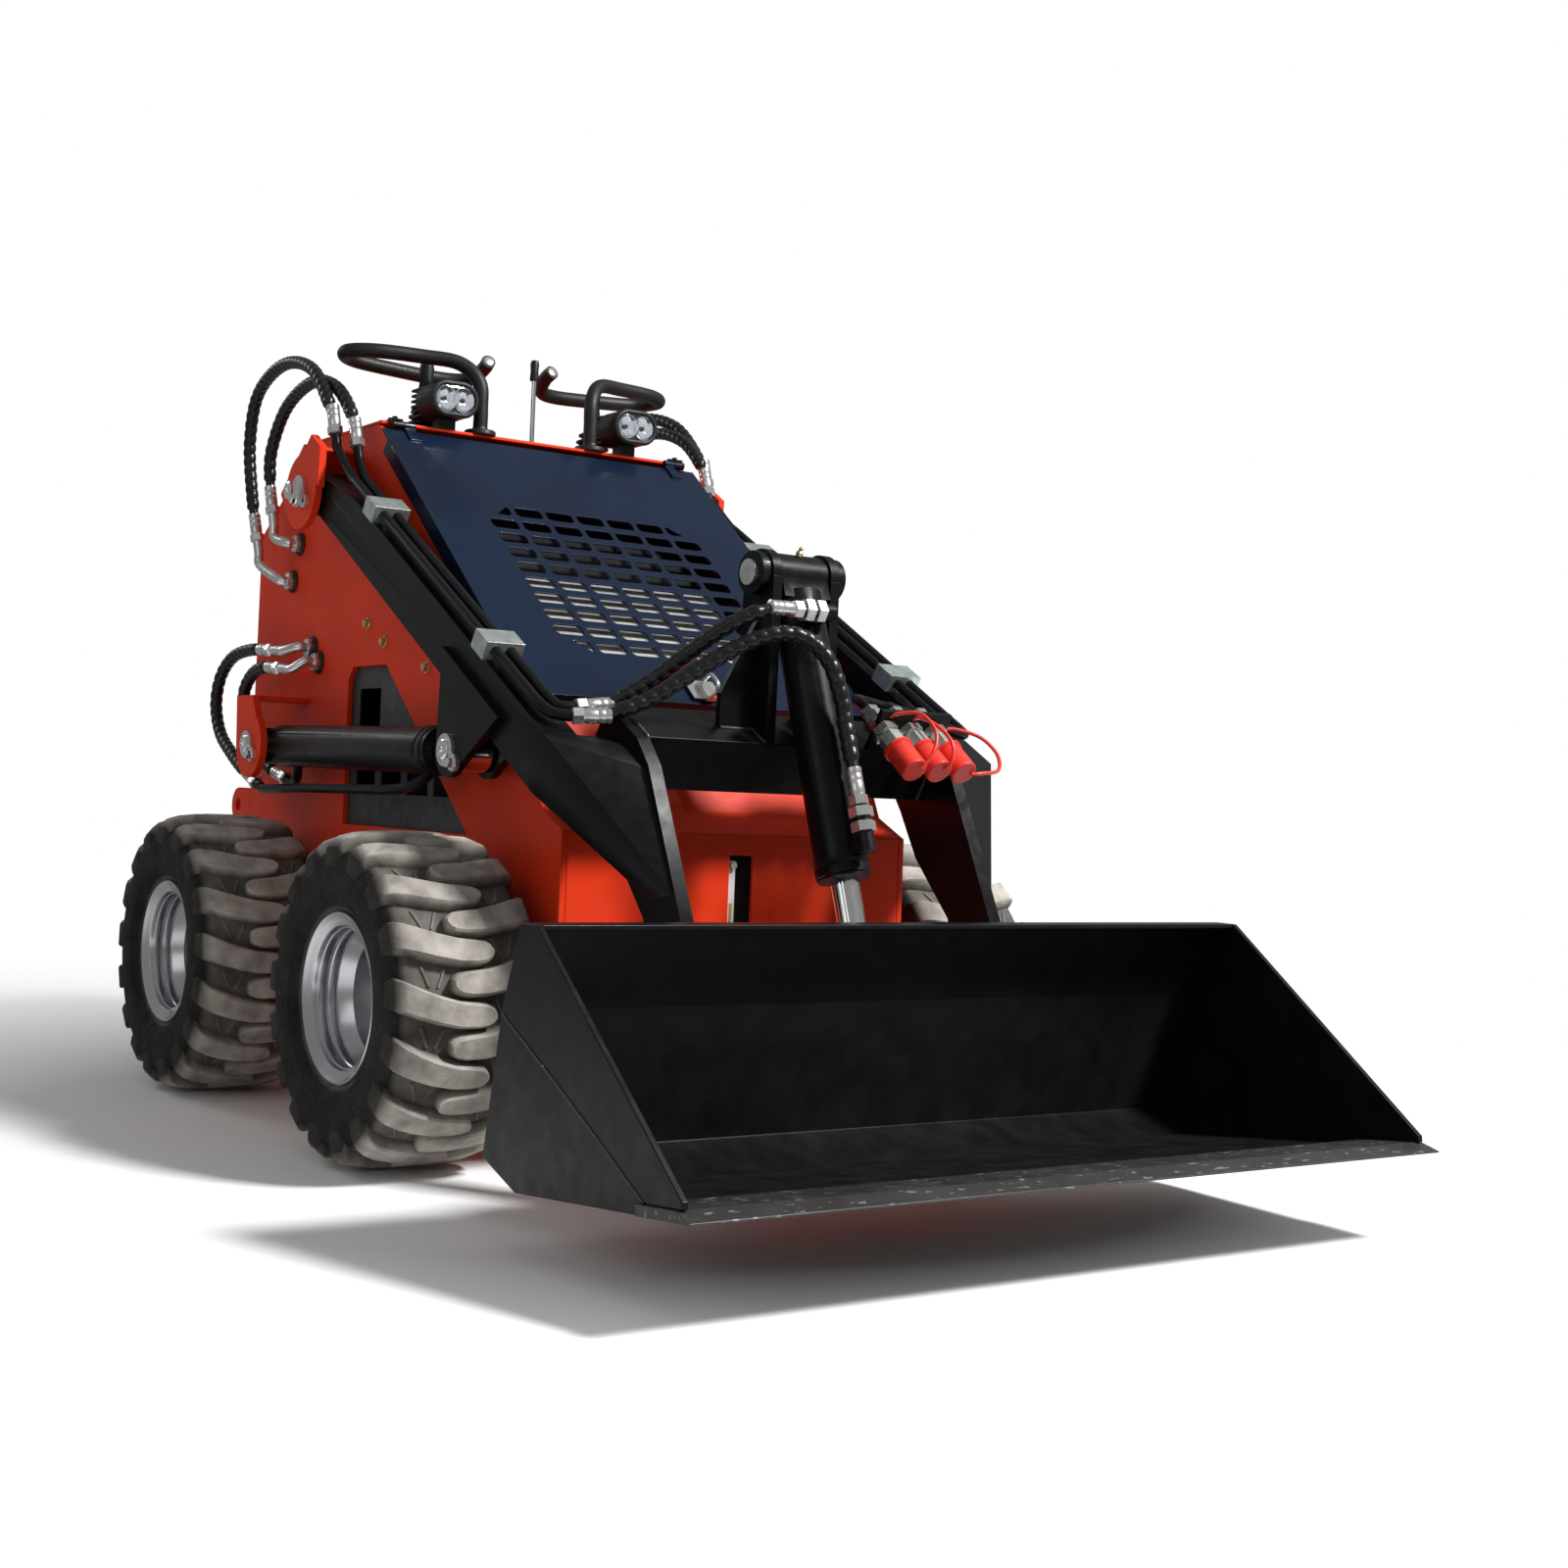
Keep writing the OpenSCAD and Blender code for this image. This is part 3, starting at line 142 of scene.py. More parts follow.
COAT_ROUGH = 0.06
MOTTLE_BAND = (0.35, 0.65)
FINE_BAND = (0.3, 0.7)
FINER = 9
WORN_STRETCH = (0.35, 1, 1)
WORN_EDGE = 0.06
BUMP = 0.5
DUST = (0.52, 0.48, 0.43)
DUST_TOP = 0.5
# Flecks that break up dust: noise scale, low and high end of the band, least share
SETTLED = (22, 0.38, 0.68, 0.15)
CAKED = (30, 0.3, 0.7, 0.45)


def node_of(tree, kind, **inputs):
    """A shader node with its inputs set by name."""
    made = tree.nodes.new(kind)
    for key, value in inputs.items():
        made.inputs[key].default_value = value
    return made


def noise_of(tree, scale, detail=3.0, stretch=(1, 1, 1)):
    """Noise on Object coordinates, so a pattern stays on its piece."""
    place = tree.nodes.new("ShaderNodeTexCoord")
    mapping = node_of(tree, "ShaderNodeMapping", Scale=stretch)
    noise = node_of(tree, "ShaderNodeTexNoise", Scale=scale, Detail=detail)
    tree.links.new(place.outputs["Object"], mapping.inputs["Vector"])
    tree.links.new(mapping.outputs["Vector"], noise.inputs["Vector"])
    return noise.outputs["Fac"]


def ranged(tree, value, low, high, to_low, to_high):
    """value carried from low..high to to_low..to_high and held there."""
    made = tree.nodes.new("ShaderNodeMapRange")
    for key, number in zip(("From Min", "From Max", "To Min", "To Max"), (low, high, to_low, to_high)):
        made.inputs[key].default_value = number
    tree.links.new(value, made.inputs["Value"])
    return made.outputs["Result"]


def blended(tree, amount, first, second):
    """Colour mix; first and second are colours or sockets."""
    made = tree.nodes.new("ShaderNodeMix")
    made.data_type = "RGBA"
    tree.links.new(amount, made.inputs["Factor"])
    for socket, value in ((made.inputs[6], first), (made.inputs[7], second)):
        if isinstance(value, tuple):
            socket.default_value = (*value, 1)
        else:
            tree.links.new(value, socket)
    return made.outputs[2]


def combined(tree, operation, first, second):
    """A sum, product or the like of two sockets."""
    made = tree.nodes.new("ShaderNodeMath")
    made.operation = operation
    tree.links.new(first, made.inputs[0])
    tree.links.new(second, made.inputs[1])
    return made.outputs[0]


def dusted(tree, tone, weight, flecks):
    """tone covered by dust as far as weight says, broken up by flecks."""
    scale, low, high, least = flecks
    broken = ranged(tree, noise_of(tree, scale, 6), low, high, least, 1)
    return blended(tree, combined(tree, "MULTIPLY", weight, broken), tone, DUST)


def finish(name, colour, rough, metal=0.0, coat=0.0, mottle=0.12, mottle_scale=5.0, grain=None, dust=0.0,
           worn=None, attribute=None, gloss=0.5):
    """A painted, moulded or plated surface.

    The colour is mottled by soft noise and the roughness by finer noise. grain is (scale, depth)
    of a bump. dust is how much settled dirt shows near the ground and fades out at DUST_TOP.
    worn is (colour, scale, threshold) of patches rubbed through. attribute names a painted-on
    weight for dust. gloss is the level of the plain reflection.
    """
    material = bpy.data.materials.new(name)
    material.use_nodes = True
    tree = material.node_tree
    shader = tree.nodes["Principled BSDF"]
    tree.links.new(shader.outputs[0], tree.nodes["Material Output"].inputs["Surface"])
    shader.inputs["Metallic"].default_value = metal
    shader.inputs["Coat Weight"].default_value = coat
    shader.inputs["Coat Roughness"].default_value = COAT_ROUGH
    shader.inputs["Specular IOR Level"].default_value = gloss
    dark = tuple(c * (1 - mottle) for c in colour)
    light = tuple(min(1.0, c * (1 + mottle)) for c in colour)
    tone = blended(tree, ranged(tree, noise_of(tree, mottle_scale), *MOTTLE_BAND, 0, 1), dark, light)
    fine = noise_of(tree, mottle_scale * FINER, 4)
    roughness = ranged(tree, fine, *FINE_BAND, rough * (1 - mottle), rough * (1 + mottle))
    if worn:
        bare, scale, threshold = worn
        rubbed = noise_of(tree, scale, 6, WORN_STRETCH)
        tone = blended(tree, ranged(tree, rubbed, threshold, threshold + WORN_EDGE, 0, 1), tone, bare)
    if dust:
        place = tree.nodes.new("ShaderNodeTexCoord")
        split = tree.nodes.new("ShaderNodeSeparateXYZ")
        tree.links.new(place.outputs["Object"], split.inputs[0])
        tone = dusted(tree, tone, ranged(tree, split.outputs["Z"], 0, DUST_TOP, dust, 0), SETTLED)
    if attribute:
        weight = tree.nodes.new("ShaderNodeAttribute")
        weight.attribute_name = attribute
        tone = dusted(tree, tone, weight.outputs["Fac"], CAKED)
    tree.links.new(tone, shader.inputs["Base Color"])
    tree.links.new(roughness, shader.inputs["Roughness"])
    if grain:
        scale, depth = grain
        bump = node_of(tree, "ShaderNodeBump", Strength=BUMP, Distance=depth)
        tree.links.new(noise_of(tree, scale, 4), bump.inputs["Height"])
        tree.links.new(bump.outputs["Normal"], shader.inputs["Normal"])
    return material


def clear_glass(name):
    """Clear lens: full transmission, slight roughness from noise."""
    material = finish(name, (0.95, 0.97, 1.0), 0.03, mottle=0.02)
    shader = material.node_tree.nodes["Principled BSDF"]
    shader.inputs["Transmission Weight"].default_value = 1.0
    shader.inputs["IOR"].default_value = 1.45
    return material


# Looks named as their slots: colour, roughness and what differs from a plain finish
LOOKS = {
    "red_paint": ((0.70, 0.036, 0.006), 0.46,
                  dict(coat=0.02, mottle=0.08, grain=(160, 0.0002), dust=0.06, gloss=0.15)),
    "navy_paint": ((0.004, 0.010, 0.027), 0.34, dict(coat=0.2, mottle=0.15, grain=(130, 0.0002), gloss=0.12)),
    "black_paint": ((0.0040, 0.0042, 0.0052), 0.36,
                    dict(coat=0.03, mottle=0.2, grain=(150, 0.00015), dust=0.015, gloss=0.16)),
    "worn_steel": ((0.035, 0.034, 0.033), 0.42,
                   dict(metal=0.3, mottle=0.25, worn=((0.20, 0.20, 0.20), 150, 0.62))),
    "zinc": ((0.70, 0.70, 0.69), 0.26, dict(metal=0.9, mottle_scale=40)),
    "dark_steel": ((0.050, 0.050, 0.052), 0.5, dict(metal=0.2, mottle=0.25, grain=(90, 0.0006), dust=0.35)),
    "bright_rod": ((0.80, 0.80, 0.81), 0.12, dict(metal=1.0, mottle=0.04, mottle_scale=60)),
    "cooler_fins": ((0.60, 0.60, 0.58), 0.48, dict(metal=0.7, mottle_scale=30)),
    "rim_silver": ((0.54, 0.55, 0.57), 0.24, dict(metal=0.95, mottle=0.05, mottle_scale=12)),
    "tyre_rubber": ((0.007, 0.0068, 0.0065), 0.78,
                    dict(mottle=0.3, mottle_scale=30, grain=(220, 0.0012), attribute="dust", gloss=0.16)),
    "hose_rubber": ((0.006, 0.006, 0.007), 0.34, dict(coat=0.15, mottle=0.25, mottle_scale=60, gloss=0.3)),
    "handle_foam": ((0.008, 0.008, 0.008), 0.5,
                    dict(mottle=0.2, mottle_scale=40, grain=(400, 0.0005), gloss=0.35)),
    "black_plastic": ((0.010, 0.010, 0.011), 0.45,
                      dict(mottle=0.2, mottle_scale=30, grain=(260, 0.0006), gloss=0.3)),
    "red_plastic": ((0.72, 0.035, 0.022), 0.38, dict(mottle=0.10, mottle_scale=50)),
}
# Looks of small pieces, each with the name of a larger look's slot first
SHARED = {
    "lamp_mirror": ("bright_rod", (0.50, 0.51, 0.53), 0.12, dict(metal=1.0, mottle=0.05, mottle_scale=60)),
    "chrome": ("bright_rod", (0.86, 0.87, 0.88), 0.08, dict(metal=1.0, mottle=0.03, mottle_scale=60)),
    "yellow_zinc": ("zinc", (0.62, 0.48, 0.22), 0.32, dict(metal=0.9, mottle=0.15, mottle_scale=80)),
    "weld_bead": ("black_paint", (0.020, 0.020, 0.021), 0.42,
                  dict(coat=0.2, mottle=0.3, mottle_scale=90, grain=(500, 0.0008),
                       worn=((0.30, 0.30, 0.30), 140, 0.66))),
    "gauge_white": ("lamp_glass", (0.80, 0.80, 0.78), 0.35, dict(mottle=0.03, mottle_scale=40)),
    "gauge_oil": ("lamp_glass", (0.55, 0.36, 0.06), 0.2, dict(coat=0.4, mottle=0.08, mottle_scale=40)),
    "clamp_zinc": ("zinc", (0.50, 0.56, 0.52), 0.36, dict(metal=0.8, mottle=0.18, mottle_scale=60)),
}
MATERIALS = {look: finish(look, colour, rough, **more) for look, (colour, rough, more) in LOOKS.items()}
MATERIALS["lamp_glass"] = clear_glass("lamp_glass")
for look, (_, colour, rough, more) in SHARED.items():
    MATERIALS[look] = finish(look, colour, rough, **more)


# Surfaces

SPAN_POINTS = 40
MERGE = 2e-6
FLAT_ANGLE = 0.6
EDGE_ANGLE = 30


def grid(P, wrap_u=False, wrap_v=False, caps=False):
    """Quads between neighbouring points P[i, j]. A wrap joins last to first; caps close the end rows."""
    rows, columns = P.shape[:2]
    k = np.arange(rows * columns).reshape(rows, columns)
    ends = [k[0, ::-1][None], k[-1][None]] if caps else []
    k = np.vstack([k, k[:1]]) if wrap_u else k
    k = np.hstack([k, k[:, :1]]) if wrap_v else k
    quads = np.stack([k[:-1, :-1], k[:-1, 1:], k[1:, 1:], k[1:, :-1]], -1).reshape(-1, 4)
    return P.reshape(-1, 3), [quads, *ends]


def axes_along(direction):
    """Matrix whose columns are two normals and the direction itself."""
    d = np.asarray(direction, float)
    d = d / np.linalg.norm(d)
    side = np.cross(d, (0, 0, 1.0) if abs(d[2]) < 0.9 else (1.0, 0, 0))
    side = side / np.linalg.norm(side)
    return np.column_stack([side, np.cross(d, side), d])


def set_on(surface, places, direction):
    """The surface once at each place t: points R p + t, with R turning its own Z to direction."""
    points, faces = surface
    shifts = np.atleast_2d(places)
    all_points = points @ axes_along(direction).T + shifts[:, None]
    steps = np.arange(len(shifts))[:, None, None] * len(points)
    return all_points.reshape(-1, 3), [(f[None] + steps).reshape(-1, f.shape[1]) for f in faces]


def lathe(profile, sides=48, closed=False):
    """P(i, a) = (r_i cos a, r_i sin a, h_i) for a profile of [r, h]; closed joins its ends."""
    r, h = np.asarray(profile, float).T
    a = np.linspace(0, TAU, sides, endpoint=False)
    P = np.stack(np.broadcast_arrays(r[:, None] * np.cos(a), r[:, None] * np.sin(a), h[:, None]), -1)
    return grid(P, wrap_u=closed, wrap_v=True, caps=not closed)


def smooth_route(points, step):
    """Evenly spaced points on the Catmull-Rom curve through the given ones:
    p(t) = (2b + (c-a)t + (2a-5b+4c-d)t^2 + (3b-a-3c+d)t^3) / 2 on each span."""
    p = np.asarray(points, float)
    q = np.vstack([2 * p[:1] - p[1:2], p, 2 * p[-1:] - p[-2:-1]])
    t = np.linspace(0, 1, SPAN_POINTS, endpoint=False)[None, :, None]
    a, b, c, d = q[:-3, None], q[1:-2, None], q[2:-1, None], q[3:, None]
    curve = 0.5 * (2 * b + (c - a) * t + (2 * a - 5 * b + 4 * c - d) * t**2 + (3 * b - a - 3 * c + d) * t**3)
    curve = np.vstack([curve.reshape(-1, 3), p[-1:]])
    length = np.linalg.norm(np.diff(curve, axis=0), axis=1).sum()
    return evenly(curve, max(2, int(round(length / step)) + 1))


def evenly(points, count):
    """count points at even steps along the straight runs between points, and how far along each one is."""
    run = np.concatenate([[0], np.cumsum(np.linalg.norm(np.diff(points, axis=0), axis=1))])
    even = np.linspace(0, run[-1], count)
    return np.column_stack([np.interp(even, run, points[:, k]) for k in range(3)]), even


def sweep(path, radius, sides=16):
    """P(i, a) = path_i + r(i, a) (cos a n_i + sin a b_i), with normals carried along the path."""
    tangent = np.gradient(path, axis=0)
    tangent /= np.linalg.norm(tangent, axis=1, keepdims=True)
    normals = [axes_along(tangent[0])[:, 0]]
    for t in tangent[1:]:
        n = normals[-1] - normals[-1].dot(t) * t
        normals.append(n / np.linalg.norm(n))
    normals = np.array(normals)[:, None]
    a = np.linspace(0, TAU, sides, endpoint=False)[:, None]
    r = np.broadcast_to(np.asarray(radius, float), (len(path), sides))[..., None]
    spokes = np.cos(a) * normals + np.sin(a) * np.cross(tangent[:, None], normals)
    return grid(path[:, None] + r * spokes, wrap_v=True, caps=True)


def tube(route, step, radius, sides=16):
    """A round tube along the smooth curve through a route in millimetres."""
    return sweep(smooth_route(at(route), step)[0], radius, sides)


def plate(outline, x0, x1):
    """A [y, z] outline in millimetres carried from x0 to x1."""
    o = np.asarray(outline, float)
    P = np.stack([np.column_stack([np.full(len(o), x), o]) for x in (x0, x1)])
    return grid(at(P), wrap_v=True, caps=True)


def hex_heads(places, direction, across, height, washer=0.0):
    """A six-sided head with a chamfered top at each place, on a round washer where one is given."""
    r = across / 2 / math.cos(math.pi / 6)
    parts = [lathe([[r, 0], [r, height * 0.8], [r * 0.88, height]], 6)]
    if washer:
        parts.append(lathe([[washer, 0], [washer, height * 0.16], [washer * 0.96, height * 0.22]], 24))
    return [set_on(part, places, direction) for part in parts]


def piece(name, surfaces, look, body, replaces=(), sharp=40, weights=None):
    """One mesh from several surfaces, in place, riding on a body."""
    points = np.vstack([s[0] for s in surfaces])
    starts = np.cumsum([0] + [len(s[0]) for s in surfaces[:-1]])
    faces = [row for s, start in zip(surfaces, starts) for f in s[1] for row in (f + start).tolist()]
    mesh = bpy.data.meshes.new(name)
    mesh.from_pydata(points.tolist(), [], faces)
    if weights is not None:
        layer = mesh.attributes.new("dust", "FLOAT", "POINT")
        layer.data.foreach_set("value", np.asarray(weights, np.float32))
    return placed(name, mesh, look, body, replaces, sharp)


def placed(name, mesh, look, body, replaces, sharp):
    """Merges doubles, turns faces outwards, marks sharp edges and sets the piece on its body."""
    bm = bmesh.new()
    bm.from_mesh(mesh)
    bmesh.ops.remove_doubles(bm, verts=bm.verts, dist=MERGE)
    bmesh.ops.recalc_face_normals(bm, faces=bm.faces)
    bm.to_mesh(mesh)
    bm.free()
    mesh.shade_smooth()
    mesh.set_sharp_from_angle(angle=math.radians(sharp))
    made = bpy.data.objects.new(name, mesh)
    bpy.context.scene.collection.objects.link(made)
    mesh.materials.append(MATERIALS[look])
    if body:
        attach(made, body)
    if replaces:
        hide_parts(*replaces)
    return made


def softened(node, look, width):
    """A copy of a CAD node with its edges rounded by a small bevel, as sheared and painted steel has."""
    name = node + "_dressed"
    mesh = NODES[node].data.copy()
    mesh.name = name
    mesh.materials.clear()
    bm = bmesh.new()
    bm.from_mesh(mesh)
    bmesh.ops.remove_doubles(bm, verts=bm.verts, dist=MERGE)
    bmesh.ops.dissolve_limit(bm, angle_limit=math.radians(FLAT_ANGLE), verts=bm.verts, edges=bm.edges)
    bm.to_mesh(mesh)
    bm.free()
    made = placed(name, mesh, look, NODES[node]["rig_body"], [node], EDGE_ANGLE)
    bevel = made.modifiers.new("edge", "BEVEL")
    bevel.width = width * MM
    bevel.segments = 2
    bevel.limit_method = "ANGLE"
    bevel.angle_limit = math.radians(EDGE_ANGLE)
    bevel.harden_normals = True


# Lines that points are laid on: [y, z] in millimetres, some way along a line and some way off it

ARM_PIVOT = (542, 994)
ARM_SLOPE = 30.7
HOOD_HINGE = (441, 1106)
HOOD_SLOPE = 40.4
TILT_PIN = np.array([-268.0, 832.0])
TILT_EYE = np.array([-450.0, 285.0])


def down_slope(start, degrees, s, h):
    """s forwards and down a slope from start, and h above it."""
    slope = math.radians(degrees)
    return np.array([start[0] - s * math.cos(slope) - h * math.sin(slope),
                     start[1] - s * math.sin(slope) + h * math.cos(slope)])


def off_line(first, last, s, h):
    """s from first towards last, and h off that line to its upper front side."""
    d = (last - first) / np.linalg.norm(last - first)
    return first + s * d + h * np.array([d[1], -d[0]])


def arm_point(s, h):
    """s along the arm from its pivot and h above its line."""
    return down_slope(ARM_PIVOT, ARM_SLOPE, s, h)


def hood_point(s, h):
    """s down the hood from its hinge and h above its outside."""
    return down_slope(HOOD_HINGE, HOOD_SLOPE, s, h)


def tilt_point(s, h):
    """s along the tilt cylinder from its top pin and h in front of its axis."""
    return off_line(TILT_PIN, TILT_EYE, s, h)


COUPLER_LINE = (arm_point(915, 122), arm_point(1010, 108))


def coupler_point(s, h):
    """s along the couplers from the back of their bracket and h above their axes."""
    return off_line(*COUPLER_LINE, s, h)


def laid(line_point, points):
    """[x, s, h] points as [x, y, z] ones."""
    return [[x, *line_point(s, h)] for x, s, h in points]


def heading(line_point):
    """Direction of a line."""
    return np.array([0, *(line_point(1, 0) - line_point(0, 0))])


# Hoses

HOSE_BARE = 0.0083
HOSE_STEP = 0.0021
HOSE_SIDES = 14
GUARD_LIFT = 0.0010
GUARD_RIDGE = 0.0021
GUARD_PITCH = 0.0170
GUARD_STOP = 0.062
GUARD_FADE = 0.004
HOSE_END = 0.053
FERRULE = [[0.0082, 0], [0.0104, 0.001], [0.0104, 0.008], [0.0098, 0.0095], [0.0104, 0.011], [0.0104, 0.018],
           [0.0098, 0.0195], [0.0104, 0.021], [0.0104, 0.034], [0.0090, 0.038]]
SWIVEL_NUT = [[0.0092, 0.037], [0.0125, 0.0385], [0.0125, 0.0515], [0.0092, HOSE_END]]
PIPE_X = (345, 368)
PIPE_H = 79
LIFT_OUTER = [[368, 480, 1083], [368, 500, 1125], [366, 590, 1208], [362, 725, 1240], [358, 850, 1210],
              [352, 898, 1130], [346, 890, 1030], [340, 868, 945]]
LIFT_INNER = [[345, 442, 1060], [345, 465, 1112], [345, 535, 1172], [344, 640, 1198], [342, 755, 1172],
              [340, 822, 1105], [338, 826, 1045], [336, 812, 990]]
CYLINDER_OUTER = [[345, 760, 745], [350, 850, 749], [356, 922, 738], [361, 966, 703], [365, 972, 652],
                  [368, 936, 600], [371, 868, 563], [372, 805, 535], [372, 740, 512]]
CYLINDER_INNER = [[345, 720, 712], [348, 790, 716], [348, 842, 706], [347, 880, 678], [345, 886, 638],
                  [343, 858, 594], [342, 810, 561], [342, 750, 537], [342, 680, 522]]
TILT_UPPER = [[-318, -227, 633], [-290, -233, 637], [-262, -241, 645], [-218, -260, 676], [-176, -286, 716],
              [-138, -318, 752], [-98, -339, 773], *laid(tilt_point, [[-54, 75, 55], [-40, 75, 55]])]
TILT_LOWER = [[-338, -252, 620], [-310, -263, 622], [-283, -273, 628], [-240, -288, 648], [-190, -307, 683],
              [-140, -330, 718], [-92, -351, 741], [-50, -368, 738], [-18, -382, 706], [-3, -392, 655],
              *laid(tilt_point, [[0, 235, 57], [0, 290, 57], [0, 350, 57]])]
TILT_ELBOWS = ([*laid(arm_point, [[-345, 799, PIPE_H], [-345, 816, PIPE_H]]),
                [-342, -214, 636], [-333, -222, 632.5], TILT_UPPER[0]],
               [*laid(arm_point, [[-368, 799, PIPE_H], [-368, 822, PIPE_H]]),
                [-366, -225, 631], [-358, -240, 623], TILT_LOWER[0]])


def eased(x):
    """Smooth step from 0 to 1."""
    x = np.clip(x, 0, 1)
    return x * x * (3 - 2 * x)


def guarded_hose(name, route, node):
    """r(s, a) = bare + g(s) (lift + ridge sqrt|sin(pi (s / pitch - a / 2 pi))|), where g fades the
    spiral guard out near both ends. The hose is baked in place on no body; its end fittings ride on
    the two bodies that hold its ends."""
    path, run = smooth_route(at(route), HOSE_STEP)
    a = np.linspace(0, 1, HOSE_SIDES, endpoint=False)
    guard = eased((run - GUARD_STOP) / GUARD_FADE) * eased((run[-1] - GUARD_STOP - run) / GUARD_FADE)
    ridge = np.sqrt(np.abs(np.sin(math.pi * (run[:, None] / GUARD_PITCH - a))))
    radius = HOSE_BARE + guard[:, None] * (GUARD_LIFT + GUARD_RIDGE * ridge)
    made = piece(name, [sweep(path, radius, HOSE_SIDES)], "hose_rubber", None, [node], 60)
    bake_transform(made)
    return path


def hose_end(path):
    """Crimped ferrule and swivel nut over the end of a hose, at path's first point."""
    out = path[0] - path[8]
    start = path[0] - HOSE_END * out / np.linalg.norm(out)
    return [set_on(lathe(FERRULE, 24), start, out), set_on(lathe(SWIVEL_NUT, 6), start, out)]


hoses = []
for side, to_side in SIDES:
    barrel = side + "_lift_barrel"
    hoses += [(f"{label}_hose_{side}", to_side(route), node + side, first, second)
              for label, route, node, first, second in (
                  ("lift_outer", LIFT_OUTER, "lift_hoses_", "lift_arms", "chassis"),
                  ("lift_inner", LIFT_INNER, "lift_hoses_", "lift_arms", "chassis"),
                  ("cylinder_outer", CYLINDER_OUTER, "cylinder_hoses_", "chassis", barrel),
                  ("cylinder_inner", CYLINDER_INNER, "cylinder_hoses_", "chassis", barrel))]
hoses += [(name, route, "tilt_hoses", "lift_arms", "tilt_cylinder_barrel")
          for name, route in (("tilt_upper_hose", TILT_UPPER), ("tilt_lower_hose", TILT_LOWER))]
hose_ends = {}
for name, route, node, first, second in hoses:
    path = guarded_hose(name, route, node)
    hose_ends.setdefault(first, []).extend(hose_end(path))
    hose_ends.setdefault(second, []).extend(hose_end(path[::-1]))
for body, surfaces in hose_ends.items():
    piece(f"hose_ferrules_{body}", surfaces, "zinc", body, sharp=25)


# Pipes and fittings

PIPE_R = 0.008
ELBOW_R = 0.0088
SIDE_X = 300
# Hose, read from its end at the side plate, and where its elbow leaves the plate
ELBOWS = ((LIFT_OUTER[::-1], 790, 872), (LIFT_INNER[::-1], 765, 936),
          (CYLINDER_OUTER, 690, 750), (CYLINDER_INNER, 660, 724))


def lead_in(route, reach):
    """A point beyond the route's first one, straight on from the hose."""
    a, b = np.asarray(route[0], float), np.asarray(route[1], float)
    return a + reach * (a - b) / np.linalg.norm(a - b)


def arm_pipe(x, route):
    """A pipe from a hose's end over a bend and down the arm's top to the lower clamp."""
    bend = [lead_in(route, reach) for reach in (0.3, 14, 28)]
    return bend + laid(arm_point, [[x, s, PIPE_H] for s in (110, 160, 480, 760, 800)])


def wall_elbow(route, y, z):
    """Elbow from the side plate out and round to the hose's end."""
    straight = [[SIDE_X + dx, y, z] for dx in (0, 14, 26)]
    return [*straight, lead_in(route, 44), lead_in(route, 22), route[0]]


pipes = [tube(to_side(arm_pipe(x, route)), 0.006, PIPE_R)
         for _, to_side in SIDES for x, route in zip(PIPE_X, (LIFT_INNER, LIFT_OUTER))]
pipes += [tube(route, 0.003, PIPE_R) for route in TILT_ELBOWS]
piece("arm_pipes_round", pipes, "black_paint", "lift_arms", ["arm_pipes"], 60)
elbow_nut = lathe([[0.010, 0], [0.0165, 0.001], [0.0165, 0.013], [0.010, 0.015]], 6)
elbows = []
for _, to_side in SIDES:
    for route, y, z in ELBOWS:
        path = smooth_route(at(to_side(wall_elbow(route, y, z))), 0.004)[0]
        elbows += [sweep(path, ELBOW_R), set_on(elbow_nut, path[0], path[1] - path[0])]
piece("wall_elbows", elbows, "zinc", "chassis", ["hose_fittings"], 30)


# Handlebars

DECK_TOP = 1114
HANDLE = [[109, 470, 1116], [109, 470, 1160], [112, 474, 1205], [140, 496, 1237], [200, 520, 1244],
          [280, 540, 1245], [314, 575, 1244], [285, 612, 1241], [200, 616, 1236], [110, 606, 1231],
          [72, 586, 1234], [62, 556, 1248], [64, 534, 1258]]
HANDLE_R = 0.0125
foot = lathe([[0.027, 0], [0.027, 0.006], [0.025, 0.008], [0.014, 0.009], [HANDLE_R, 0.014]], 32)
end_cap = lathe([[0.0090, 0], [0.0090, 0.0014], [0.0080, 0.0020], [0.0005, 0.0022]], 24)
bars, ends = [], []
for _, to_side in SIDES:
    path = smooth_route(at(to_side(HANDLE)), 0.006)[0]
    bars += [sweep(path, HANDLE_R, 20), set_on(foot, at(to_side([*HANDLE[0][:2], DECK_TOP])), UP)]
    ends.append(set_on(end_cap, path[-1], path[-1] - path[-2]))
piece("handle_ends", ends, "zinc", "chassis")
piece("handlebars_round", bars, "handle_foam", "chassis", ["handlebars"], 50)


# Tyres: a turned carcass with swept-back lugs, as [width from the middle, radius] in millimetres

TYRE_R = 229
TYRE_SIDES = 120
CARCASS = np.array([
    [85, 101.5], [86, 112], [89, 120], [96, 126], [102, 133], [104, 136], [103.5, 139], [105.5, 141],
    [107, 150], [107.8, 162], [107, 176], [105, 186], [102, 193], [97, 199], [88, 204], [74, 207], [50, 209],
    [25, 210], [0, 210.5]])
TREAD = CARCASS[:11:-1]
LUG_TOP = np.array([
    [-30, 229], [-26, 229], [-19, 229], [-6, 229], [20, 229], [50, 228], [75, 225], [92, 220], [101, 213],
    [106, 204], [107.6, 192], [107.4, 180]])
LUG_BASE = np.array([
    [-30, 206], [-26, 206], [-19, 206], [-6, 206], [20, 206], [50, 205], [75, 203], [89, 198], [97, 192],
    [101, 186], [103, 180], [103, 174]])
LUG_HALF = np.array([5, 10.5, 14, 16, 17, 18, 19.5, 21, 22, 22, 21, 18])
LUG_FOOT = 5
LUG_BEVEL = 3
LUG_TUCK = 0.4
LUGS = 17
